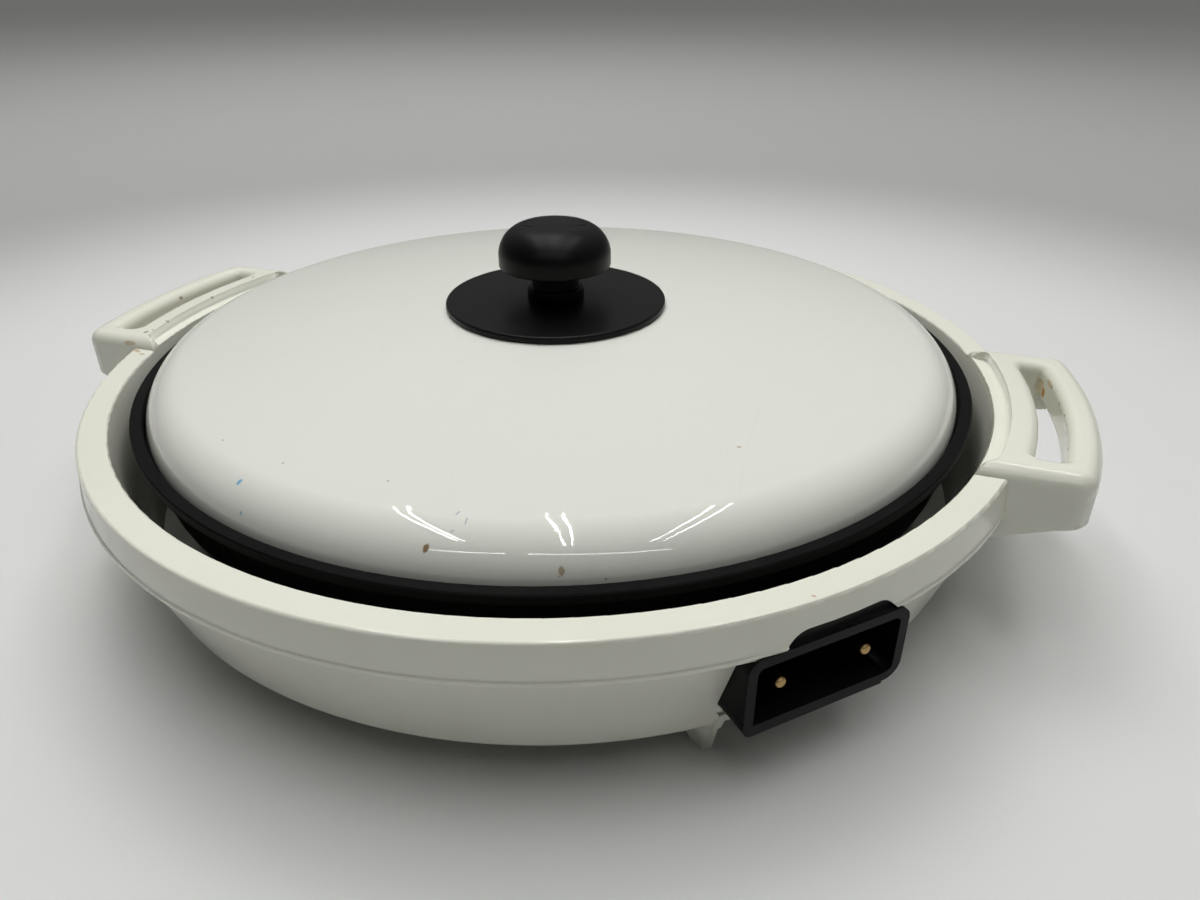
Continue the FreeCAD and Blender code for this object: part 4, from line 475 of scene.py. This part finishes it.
for name, node in cadNodes.items():
    node.data.materials.clear()
    node.data.materials.append(finish[nodeFinish[name]])


def linkPiece(name, mesh, body, node=None):
    piece = bpy.data.objects.new(name, mesh)
    scene.collection.objects.link(piece)
    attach(piece, body)
    if node is not None:
        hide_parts(node)
    return piece


# A merged copy of a CAD node, smooth across its rounded faces and sharp at its edges
def smoothCopy(node, name):
    mesh = cadNodes[node].data.copy()
    mesh.name = name
    work = bmesh.new()
    work.from_mesh(mesh)
    bmesh.ops.remove_doubles(work, verts=work.verts, dist=mergeDistance)
    bmesh.ops.dissolve_limit(work, angle_limit=flatAngle, verts=work.verts, edges=work.edges)
    work.to_mesh(mesh)
    work.free()
    mesh.shade_smooth()
    mesh.set_sharp_from_angle(angle=sharpAngle["copied"])
    piece = linkPiece(name, mesh, cadNodes[node]["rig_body"], node)
    weighted = piece.modifiers.new("flat faces stay flat", "WEIGHTED_NORMAL")
    weighted.keep_sharp = True


# Geometry Nodes: a profile drawn in the XZ plane is rounded and turned about the Z axis
def makeTurnedTree():
    tree, given, result = newGroup("turnedPiece", "GeometryNodeTree", [
        ("Profile", "Geometry", None), ("Segments", "Int", 240), ("Rounding Steps", "Int", 5),
        ("Path Radius", "Float", 0.01), ("Merge Distance", "Float", mergeDistance),
        ("Finish", "Material", None)], [("Geometry", "Geometry")])
    curve = addNode(tree, "GeometryNodeMeshToCurve", {"Mesh": given.outputs["Profile"]})
    rounding = addNode(tree, "GeometryNodeInputNamedAttribute", {"Name": "rounding"}, data_type="FLOAT")
    filleted = addNode(tree, "GeometryNodeFilletCurve", {
        "Curve": curve.outputs[0], "Count": given.outputs["Rounding Steps"],
        "Radius": rounding.outputs["Attribute"], "Limit Radius": True}, mode="POLY")
    shift = addNode(tree, "ShaderNodeCombineXYZ", {
        "X": addMath(tree, "MULTIPLY", given.outputs["Path Radius"], -1.0)})
    laid = addNode(tree, "GeometryNodeTransform", {
        "Geometry": filleted.outputs[0], "Translation": shift.outputs[0],
        "Rotation": (math.radians(90), 0, 0)})
    path = addNode(tree, "GeometryNodeCurvePrimitiveCircle", {
        "Resolution": given.outputs["Segments"], "Radius": given.outputs["Path Radius"]})
    turned = addNode(tree, "GeometryNodeCurveToMesh", {
        "Curve": path.outputs[0], "Profile Curve": laid.outputs[0]})
    closed = addNode(tree, "GeometryNodeMergeByDistance", {
        "Geometry": turned.outputs[0], "Distance": given.outputs["Merge Distance"]})
    outward = addNode(tree, "GeometryNodeFlipFaces", {"Mesh": closed.outputs[0]})
    smooth = addNode(tree, "GeometryNodeSetShadeSmooth", {"Geometry": outward.outputs[0]})
    real = addNode(tree, "GeometryNodeRealizeInstances", {"Geometry": smooth.outputs[0]})
    dressed = addNode(tree, "GeometryNodeSetMaterial", {
        "Geometry": real.outputs[0], "Material": given.outputs["Finish"]})
    tree.links.new(dressed.outputs[0], result.inputs["Geometry"])
    return tree


# Geometry Nodes: one screw gets a cross recess, and copies of it stand on the start mesh's points
def makeScrewTree():
    tree, given, result = newGroup("crossHeadScrews", "GeometryNodeTree", [
        ("Places", "Geometry", None), ("Screw", "Object", None), ("Recess Length", "Float", 0.004),
        ("Recess Width", "Float", 0.001), ("Recess Depth", "Float", 0.001),
        ("Turn Spread", "Float", 1.57), ("Seed", "Int", 3), ("Finish", "Material", None)],
        [("Geometry", "Geometry")])
    screw = addNode(tree, "GeometryNodeObjectInfo", {"Object": given.outputs["Screw"]})
    recessed = addNode(tree, "GeometryNodeMeshBoolean", {"Mesh 1": screw.outputs["Geometry"]},
                       operation="DIFFERENCE")
    # The bars' floors differ by a twentieth, because level ones leave open edges
    for alongX, alongY, share in (("Length", "Width", 2.0), ("Width", "Length", 1.9)):
        depth = addMath(tree, "MULTIPLY", given.outputs["Recess Depth"], share)
        size = addNode(tree, "ShaderNodeCombineXYZ", {
            "X": given.outputs["Recess " + alongX], "Y": given.outputs["Recess " + alongY], "Z": depth})
        bar = addNode(tree, "GeometryNodeMeshCube", {"Size": size.outputs[0]})
        tree.links.new(bar.outputs[0], recessed.inputs["Mesh 2"])
    spin = addNode(tree, "FunctionNodeRandomValue", {
        "Seed": given.outputs["Seed"], 3: given.outputs["Turn Spread"]}, data_type="FLOAT")
    spun = addNode(tree, "ShaderNodeCombineXYZ", {"Z": spin.outputs[1]})
    smooth = addNode(tree, "GeometryNodeSetShadeSmooth", {"Geometry": recessed.outputs[0]})
    copies = addNode(tree, "GeometryNodeInstanceOnPoints", {
        "Points": given.outputs["Places"], "Instance": smooth.outputs[0], "Rotation": spun.outputs[0]})
    real = addNode(tree, "GeometryNodeRealizeInstances", {"Geometry": copies.outputs[0]})
    dressed = addNode(tree, "GeometryNodeSetMaterial", {
        "Geometry": real.outputs[0], "Material": given.outputs["Finish"]})
    tree.links.new(dressed.outputs[0], result.inputs["Geometry"])
    return tree


turnedTree = makeTurnedTree()
screwTree = makeScrewTree()


# The tree's result for a start mesh, as a plain mesh with no modifier left
def bakeTree(name, mesh, tree, inputs):
    carrier = bpy.data.objects.new(name + "Start", mesh)
    scene.collection.objects.link(carrier)
    modifier = carrier.modifiers.new("nodes", "NODES")
    modifier.node_group = tree
    for item in tree.interface.items_tree:
        if item.item_type == "SOCKET" and item.in_out == "INPUT" and item.name in inputs:
            modifier[item.identifier] = inputs[item.name]
    evaluated = carrier.evaluated_get(bpy.context.evaluated_depsgraph_get())
    baked = bpy.data.meshes.new_from_object(evaluated)
    baked.name = name
    carrier.modifiers.remove(modifier)
    bpy.data.objects.remove(carrier)
    return baked


# Profile points are (radius, height, rounding) in metres, with the body on the left
def turnedMesh(name, profile, material, segments, roundingSteps, closed=False):
    mesh = bpy.data.meshes.new(name + "Profile")
    count = len(profile)
    sides = [(index, index + 1) for index in range(count - 1)]
    if closed:
        sides.append((count - 1, 0))
    mesh.from_pydata([(radius, 0, height) for radius, height, rounding in profile], sides, [])
    attribute = mesh.attributes.new("rounding", "FLOAT", "POINT")
    attribute.data.foreach_set("value", [rounding for radius, height, rounding in profile])
    baked = bakeTree(name, mesh, turnedTree, {
        "Segments": segments, "Rounding Steps": roundingSteps, "Finish": finish[material]})
    baked.set_sharp_from_angle(angle=sharpAngle["turned"])
    return baked


# Points on an arc in the profile's plane, its ends included
def arcPoints(centre, radius, start, stop, steps):
    points = []
    for index in range(steps + 1):
        angle = math.radians(start + (stop - start) * index / steps)
        points.append((centre[0] + radius * math.cos(angle), centre[1] + radius * math.sin(angle), 0.0))
    return points


lid = {
    "crownRadius": 1240 * mm,
    "shoulder": 17 * mm,
    "sheet": 1.0 * mm,
    "lipRounding": 0.45 * mm,
    "crownSteps": 26,
    "shoulderSteps": 18,
    "segments": 320,
}


def makeLid():
    low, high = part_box("lid_dome")
    radius, top, bottom = high.x, high.z, low.z
    centre = (0.0, top - lid["crownRadius"])
    inner = radius - lid["shoulder"]
    shoulderHeight = centre[1] + math.sqrt((lid["crownRadius"] - lid["shoulder"]) ** 2 - inner ** 2)
    lean = math.degrees(math.atan2(shoulderHeight - centre[1], inner))
    profile = []
    for offset, outside in ((lid["sheet"], False), (0.0, True)):
        crown = arcPoints(centre, lid["crownRadius"] - offset, 90, lean, lid["crownSteps"])
        middle = (inner, shoulderHeight)
        shoulder = arcPoints(middle, lid["shoulder"] - offset, lean, 0, lid["shoulderSteps"])
        crown[0] = (0.0, top - offset, 0.0)
        edge = (radius - offset, bottom, lid["lipRounding"])
        side = crown + shoulder[1:] + [edge]
        profile += side[::-1] if outside else side
    mesh = turnedMesh("lid", profile, "lidEnamel", segments=lid["segments"], roundingSteps=4)
    linkPiece("lid", mesh, "lid", "lid_dome")


disc = {
    "recess": 1.2 * mm, "edgeWall": 2.5 * mm, "hole": 2.2 * mm,
    "innerRounding": 0.3 * mm, "lowRounding": 0.6 * mm, "rounding": 0.9 * mm,
}


def makeDisc():
    low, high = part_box("knob_disc")
    radius = high.x
    inner = radius - disc["edgeWall"]
    profile = [
        (disc["hole"], low.z + disc["recess"], 0),
        (inner, low.z + disc["recess"], disc["innerRounding"]),
        (inner, low.z, disc["innerRounding"]),
        (radius, low.z, disc["lowRounding"]),
        (radius, high.z, disc["rounding"]),
        (disc["hole"], high.z, 0),
    ]
    mesh = turnedMesh("knobDisc", profile, "knobPlastic", segments=200, roundingSteps=6, closed=True)
    linkPiece("knobDisc", mesh, "lid", "knob_disc")


knob = {
    "footRounding": 0.2 * mm,
    "stemRadius": 12.7 * mm, "stemRise": 5.4 * mm, "stemRounding": 0.8 * mm,
    "neckRadius": 10.5 * mm, "neckRounding": 0.3 * mm, "throat": 4.0 * mm, "throatSteps": 8,
    "lipRise": 15.0 * mm, "lipRounding": 0.5 * mm,
    "sideRise": 20.8 * mm, "headArc": 13.7 * mm, "headSteps": 22,
    "flatRadius": 12.0 * mm, "flatDrop": 0.8 * mm,
    "screwHole": 2.05 * mm, "screwDepth": 14.0 * mm,
    "ovalLong": 13.8 * mm, "ovalShort": 6.8 * mm, "ovalWire": 0.50 * mm, "ovalSunk": 0.28 * mm,
    "ovalTurn": 21.4, "ovalSteps": 72, "ovalSides": 8,
}


# The arc from one profile point to another, bulging away from the axis or towards it
def profileArc(start, stop, radius, steps):
    first, last = Vector(start), Vector(stop)
    chord = last - first
    side = Vector((-chord.y, chord.x)).normalized() * (1 if radius > 0 else -1)
    centre = (first + last) / 2 + side * math.sqrt(radius * radius - chord.length_squared / 4)
    begin = math.degrees(math.atan2(first.y - centre.y, first.x - centre.x))
    finishAngle = math.degrees(math.atan2(last.y - centre.y, last.x - centre.x))
    turn = (finishAngle - begin + 180) % 360 - 180
    return arcPoints(centre, abs(radius), begin, begin + turn, steps)


def knobProfile():
    low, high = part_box("lid_knob")
    base, top, radius = low.z, high.z, high.x
    stemTop = base + knob["stemRise"]
    lip = base + knob["lipRise"]
    hollow = (knob["neckRadius"] + knob["throat"], lip - knob["throat"])
    profile = [
        (0, base + knob["screwDepth"], 0),
        (knob["screwHole"], base + knob["screwDepth"], 0),
        (knob["screwHole"], base, 0),
        (knob["stemRadius"], base, knob["footRounding"]),
        (knob["stemRadius"], stemTop, knob["stemRounding"]),
        (knob["neckRadius"], stemTop, knob["neckRounding"]),
    ]
    profile += arcPoints(hollow, knob["throat"], 180, 90, knob["throatSteps"])
    profile += [(radius, lip, knob["lipRounding"])]
    side = (radius, base + knob["sideRise"])
    crown = (knob["flatRadius"], top - knob["flatDrop"])
    profile += profileArc(side, crown, knob["headArc"], knob["headSteps"])
    # The nearly flat top is a parabola: halfway out it has dropped by a quarter
    profile += [(knob["flatRadius"] / 2, top - knob["flatDrop"] / 4, 0), (0, top, 0)]
    return profile


# The knob's upper outline as a height at a distance from the axis
def knobHeightAt(profile, reach):
    rising = profile[::-1]
    for (innerRadius, innerHeight, _), (outerRadius, outerHeight, _) in zip(rising, rising[1:]):
        if innerRadius <= reach <= outerRadius:
            share = (reach - innerRadius) / (outerRadius - innerRadius)
            return innerHeight + (outerHeight - innerHeight) * share
    return rising[0][1]


def makeKnob():
    profile = knobProfile()
    mesh = turnedMesh("knob", profile, "knobPlastic", segments=160, roundingSteps=5)
    linkPiece("knob", mesh, "lid", "lid_knob")
    # A low oval ring on the top, with nothing in it
    turn = Matrix.Rotation(math.radians(knob["ovalTurn"]), 4, "Z")
    path = []
    for index in range(knob["ovalSteps"]):
        angle = index * math.tau / knob["ovalSteps"]
        along, across = knob["ovalLong"] * math.cos(angle), knob["ovalShort"] * math.sin(angle)
        spot = turn @ Vector((along, across, 0))
        spot.z = knobHeightAt(profile, spot.length) - knob["ovalSunk"]
        path.append(spot)
    ring = tubeMesh("knobOval", path, knob["ovalWire"], knob["ovalSides"])
    ring.materials.append(finish["knobPlastic"])
    oval = linkPiece("knobOval", ring, "lid")


# A closed round tube along a ring of points
def tubeMesh(name, path, radius, sides):
    count = len(path)
    corners, faces = [], []
    for index, spot in enumerate(path):
        forward = (path[(index + 1) % count] - path[index - 1]).normalized()
        across = forward.cross(Vector((0, 0, 1))).normalized()
        upward = across.cross(forward)
        for side in range(sides):
            angle = side * math.tau / sides
            corners.append(spot + across * math.cos(angle) * radius + upward * math.sin(angle) * radius)
    for index in range(count):
        start, after = index * sides, (index + 1) % count * sides
        for side in range(sides):
            beside = (side + 1) % sides
            faces.append((start + side, start + beside, after + beside, after + side))
    mesh = bpy.data.meshes.new(name)
    mesh.from_pydata(corners, [], faces)
    work = bmesh.new()
    work.from_mesh(mesh)
    bmesh.ops.recalc_face_normals(work, faces=work.faces)
    work.to_mesh(mesh)
    work.free()
    mesh.shade_smooth()
    return mesh


makeLid()
makeDisc()
makeKnob()
print("lid, disc and knob made")

smoothPieces = {
    "rim_liner": "rim", "base_shell": "base", "handle_right": "handleRight", "handle_left": "handleLeft",
    "pan": "panBody", "socket_shroud": "inletSurround", "socket_cover": "inletStrip",
    "terminal_pin_left": "pinLeft", "terminal_pin_right": "pinRight", "probe_sleeve": "probeGuide",
    "heating_element": "element", "element_clamps": "straps", "pan_spacers": "spacers",
    "reflector_plate": "reflector", "terminal_insulators": "beads", "socket_screws": "inletScrews",
    "knob_washer": "washer",
}
for nodeName, pieceName in smoothPieces.items():
    smoothCopy(nodeName, pieceName)
print("body pieces made")

# Shares of a screw's own sizes that shape its head, its tip and the cross recess
screwShape = {
    "flat": 0.62, "flatRounding": 0.5, "side": 0.45, "sideRounding": 0.2, "tip": 0.3,
    "recessLength": 1.24, "recessWidth": 0.32, "recessDepth": 0.55,
}
# A head's rim is beyond this share of its radius, and a shank starts this far past the head
screwParts = {"rimShare": 0.9, "shankStart": 0.2 * mm}
screwPieces = {
    "pan_screws": "panScrews", "liner_screws": "linerScrews", "handle_screws": "handleScrews",
    "clamp_screws": "strapScrews", "knob_screw": "knobScrew",
}


# Where each upright screw of a CAD node stands, and the sizes of its head and shank
def screwSizes(node):
    work = bmesh.new()
    work.from_mesh(cadNodes[node].data)
    bmesh.ops.remove_doubles(work, verts=work.verts, dist=mergeDistance)
    waiting = set(work.verts)
    screws = []
    while waiting:
        group, edge = set(), [waiting.pop()]
        while edge:
            corner = edge.pop()
            group.add(corner)
            beside = {line.other_vert(corner) for line in corner.link_edges} & waiting
            waiting -= beside
            edge.extend(beside)
        spots = [corner.co.copy() for corner in group]
        x = (min(spot.x for spot in spots) + max(spot.x for spot in spots)) / 2
        y = (min(spot.y for spot in spots) + max(spot.y for spot in spots)) / 2
        low = min(spot.z for spot in spots)
        reach = [((spot - Vector((x, y, spot.z))).length, spot.z - low) for spot in spots]
        head = max(away for away, rise in reach)
        seat = max(rise for away, rise in reach if away > head * screwParts["rimShare"])
        shank = max(away for away, rise in reach if rise > seat + screwParts["shankStart"])
        screws.append({"place": (x, y, low), "head": head, "seat": seat, "shank": shank,
                       "top": max(rise for away, rise in reach)})
    work.free()
    return screws


def makeScrews(node, name):
    screws = screwSizes(node)
    head, seat, shank, top = (screws[0][size] for size in ("head", "seat", "shank", "top"))
    profile = [
        (0, 0, 0),
        (head * screwShape["flat"], 0, head * screwShape["flatRounding"]),
        (head, seat * screwShape["side"], head * screwShape["sideRounding"]),
        (head, seat, 0),
        (shank, seat, 0),
        (shank, top - shank, 0),
        (shank * screwShape["tip"], top, 0),
        (0, top, 0),
    ]
    patternMesh = turnedMesh(name + "Pattern", profile, "zincSteel", segments=32, roundingSteps=4)
    pattern = bpy.data.objects.new(name + "Pattern", patternMesh)
    places = bpy.data.meshes.new(name + "Places")
    places.from_pydata([screw["place"] for screw in screws], [], [])
    mesh = bakeTree(name, places, screwTree, {
        "Screw": pattern, "Finish": finish["zincSteel"],
        "Recess Length": head * screwShape["recessLength"],
        "Recess Width": head * screwShape["recessWidth"],
        "Recess Depth": seat * screwShape["recessDepth"]})
    mesh.set_sharp_from_angle(angle=sharpAngle["screws"])
    bpy.data.objects.remove(pattern)
    linkPiece(name, mesh, cadNodes[node]["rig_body"], node)


for nodeName, pieceName in screwPieces.items():
    makeScrews(nodeName, pieceName)
print("screws made")

# Stage, lights and camera
# The floor's far ring is darker as painted shade standing in for a dim backdrop, and the floor brightens
# again towards its edge as painted light that makes up for the lamps' falloff
stage = {"radius": 7.0, "nearColour": (0.680, 0.680, 0.671), "farPaintedShade": (0.395, 0.395, 0.388),
         "edgePaintedLight": (0.680, 0.680, 0.668), "fadeFrom": 0.38, "fadeTo": 0.76, "edgeAt": 3.2}


def makeFloor():
    mesh = bpy.data.meshes.new("floor")
    reach = stage["radius"]
    corners = [(-reach, -reach, 0), (reach, -reach, 0), (reach, reach, 0), (-reach, reach, 0)]
    mesh.from_pydata(corners, [], [(0, 1, 2, 3)])
    floor = bpy.data.objects.new("floor", mesh)
    scene.collection.objects.link(floor)
    material, tree, base = newMaterial("floorPaint", {"Roughness": 0.5, "Specular IOR Level": 0.2})
    away = addVectorMath(tree, "LENGTH", objectPlace(tree)).outputs["Value"]
    # painted shade: the floor darkens between the two fade distances
    fade = addNode(tree, "ShaderNodeMapRange", {
        "Value": away, "From Min": stage["fadeFrom"], "From Max": stage["fadeTo"]},
        interpolation_type="SMOOTHSTEP")
    colour = mixColour(tree, fade.outputs[0], opaque(stage["nearColour"]), opaque(stage["farPaintedShade"]))
    # painted light: the floor brightens again towards its edge, against the lamps' falloff
    outward = addNode(tree, "ShaderNodeMapRange", {
        "Value": away, "From Min": stage["fadeTo"], "From Max": stage["edgeAt"]})
    colour = mixColour(tree, outward.outputs[0], colour, opaque(stage["edgePaintedLight"]))
    tree.links.new(colour, base.inputs["Base Color"])
    mesh.materials.append(material)


room = {"horizon": 0.10, "zenith": 0.38, "zenithAt": 0.8, "tint": (1.0, 0.995, 0.985),
        "frontShare": 0.22, "frontFrom": -0.6, "frontTo": 0.5}


# A dim even room, darker on the side that the photograph was taken from
def makeWorld():
    world = bpy.data.worlds.new("studio")
    scene.world = world
    world.use_nodes = True
    tree = world.node_tree
    background = tree.nodes["Background"]
    direction = addNode(tree, "ShaderNodeTexCoord").outputs["Generated"]
    axes = addNode(tree, "ShaderNodeSeparateXYZ", {0: direction})
    upward = addNode(tree, "ShaderNodeMapRange", {
        "Value": axes.outputs["Z"], "From Max": room["zenithAt"], "To Min": room["horizon"],
        "To Max": room["zenith"]}, interpolation_type="SMOOTHSTEP")
    frontward = addNode(tree, "ShaderNodeMapRange", {
        "Value": axes.outputs["Y"], "From Min": room["frontFrom"], "From Max": room["frontTo"],
        "To Min": room["frontShare"]}, interpolation_type="SMOOTHSTEP")
    strength = addMath(tree, "MULTIPLY", upward.outputs[0], frontward.outputs[0])
    tree.links.new(strength, background.inputs["Strength"])
    background.inputs["Color"].default_value = opaque(room["tint"])


def addArea(name, place, turn, size, power):
    data = bpy.data.lights.new(name, "AREA")
    data.shape = "RECTANGLE"
    data.size, data.size_y = size
    data.energy = power
    lamp = bpy.data.objects.new(name, data)
    scene.collection.objects.link(lamp)
    lamp.location = place
    lamp.rotation_euler = (0, 0, turn)
    return lamp


# Ceiling lamps: pairs of thin tubes that run towards the camera, and two seams of light across them,
# which only show as reflections. Power is per square metre.
ceiling = {
    "height": 2.2, "run": math.radians(-68.6),
    "tube": {"width": 0.011, "power": 98.0, "diffuse": True, "spread": math.radians(110)},
    "tubes": (((-1.78, -0.76), (0.94, -0.82)), ((-1.78, -0.69), (1.02, -0.76)),
              ((-1.64, -0.07), (1.27, 0.01)), ((-1.64, 0.00), (1.29, 0.08)),
              ((-0.88, 0.86), (1.55, 0.97)), ((-1.02, 0.73), (1.51, 0.83))),
    "seam": {"width": 0.110, "power": 42.0, "diffuse": False, "spread": math.radians(180)},
    "seams": (((2.16, -1.65), (2.17, -0.66)), ((2.21, -0.39), (3.04, 1.67))),
}


# Each lamp lies between two ends, given along the run and aside of it
def makeCeilingLights():
    run = Vector((math.cos(ceiling["run"]), math.sin(ceiling["run"]), 0))
    aside = Vector((-run.y, run.x, 0))
    lift = Vector((0, 0, ceiling["height"]))
    for kind in ("tube", "seam"):
        sizes = ceiling[kind]
        for index, ends in enumerate(ceiling[kind + "s"]):
            first, last = [run * along + aside * across for along, across in ends]
            way = last - first
            lamp = addArea(f"{kind}{index}", (first + last) / 2 + lift, math.atan2(way.y, way.x),
                           (way.length, sizes["width"]), sizes["power"] * way.length * sizes["width"])
            lamp.visible_diffuse = sizes["diffuse"]
            lamp.data.spread = sizes["spread"]


softLight = {"place": (-0.40, 0.95, 1.90), "target": (0, 0, 0.08), "size": (1.3, 1.0), "power": 15.0}


# Soft light from behind and above, which leaves no reflection of its own
def makeSoftLight():
    place, target = Vector(softLight["place"]), Vector(softLight["target"])
    lamp = addArea("soft", place, 0, softLight["size"], softLight["power"])
    lamp.rotation_euler = (target - place).to_track_quat("-Z", "Y").to_euler()
    lamp.visible_glossy = False


camera = {"focalPixels": 902.0, "imageWidth": 1200.0, "sensor": 36.0, "nearest": 0.01, "farthest": 50.0,
          "place": (0.1430, -0.3631, 0.2366), "forward": (-0.2784, 0.8269, -0.4887), "roll": -0.2}


def makeCamera():
    data = bpy.data.cameras.new("photoView")
    data.sensor_width = camera["sensor"]
    data.lens = camera["focalPixels"] / camera["imageWidth"] * camera["sensor"]
    data.clip_start, data.clip_end = camera["nearest"], camera["farthest"]
    view = bpy.data.objects.new("photoView", data)
    scene.collection.objects.link(view)
    forward = Vector(camera["forward"]).normalized()
    right = forward.cross(Vector((0, 0, 1))).normalized()
    upward = right.cross(forward)
    turn = Matrix((right, upward, -forward)).transposed().to_4x4()
    view.matrix_world = (Matrix.Translation(camera["place"]) @ turn
                         @ Matrix.Rotation(math.radians(camera["roll"]), 4, "Z"))
    scene.camera = view


makeFloor()
makeWorld()
makeCeilingLights()
makeSoftLight()
makeCamera()
scene.view_settings.view_transform = "Standard"
print("stage, lights and camera made")
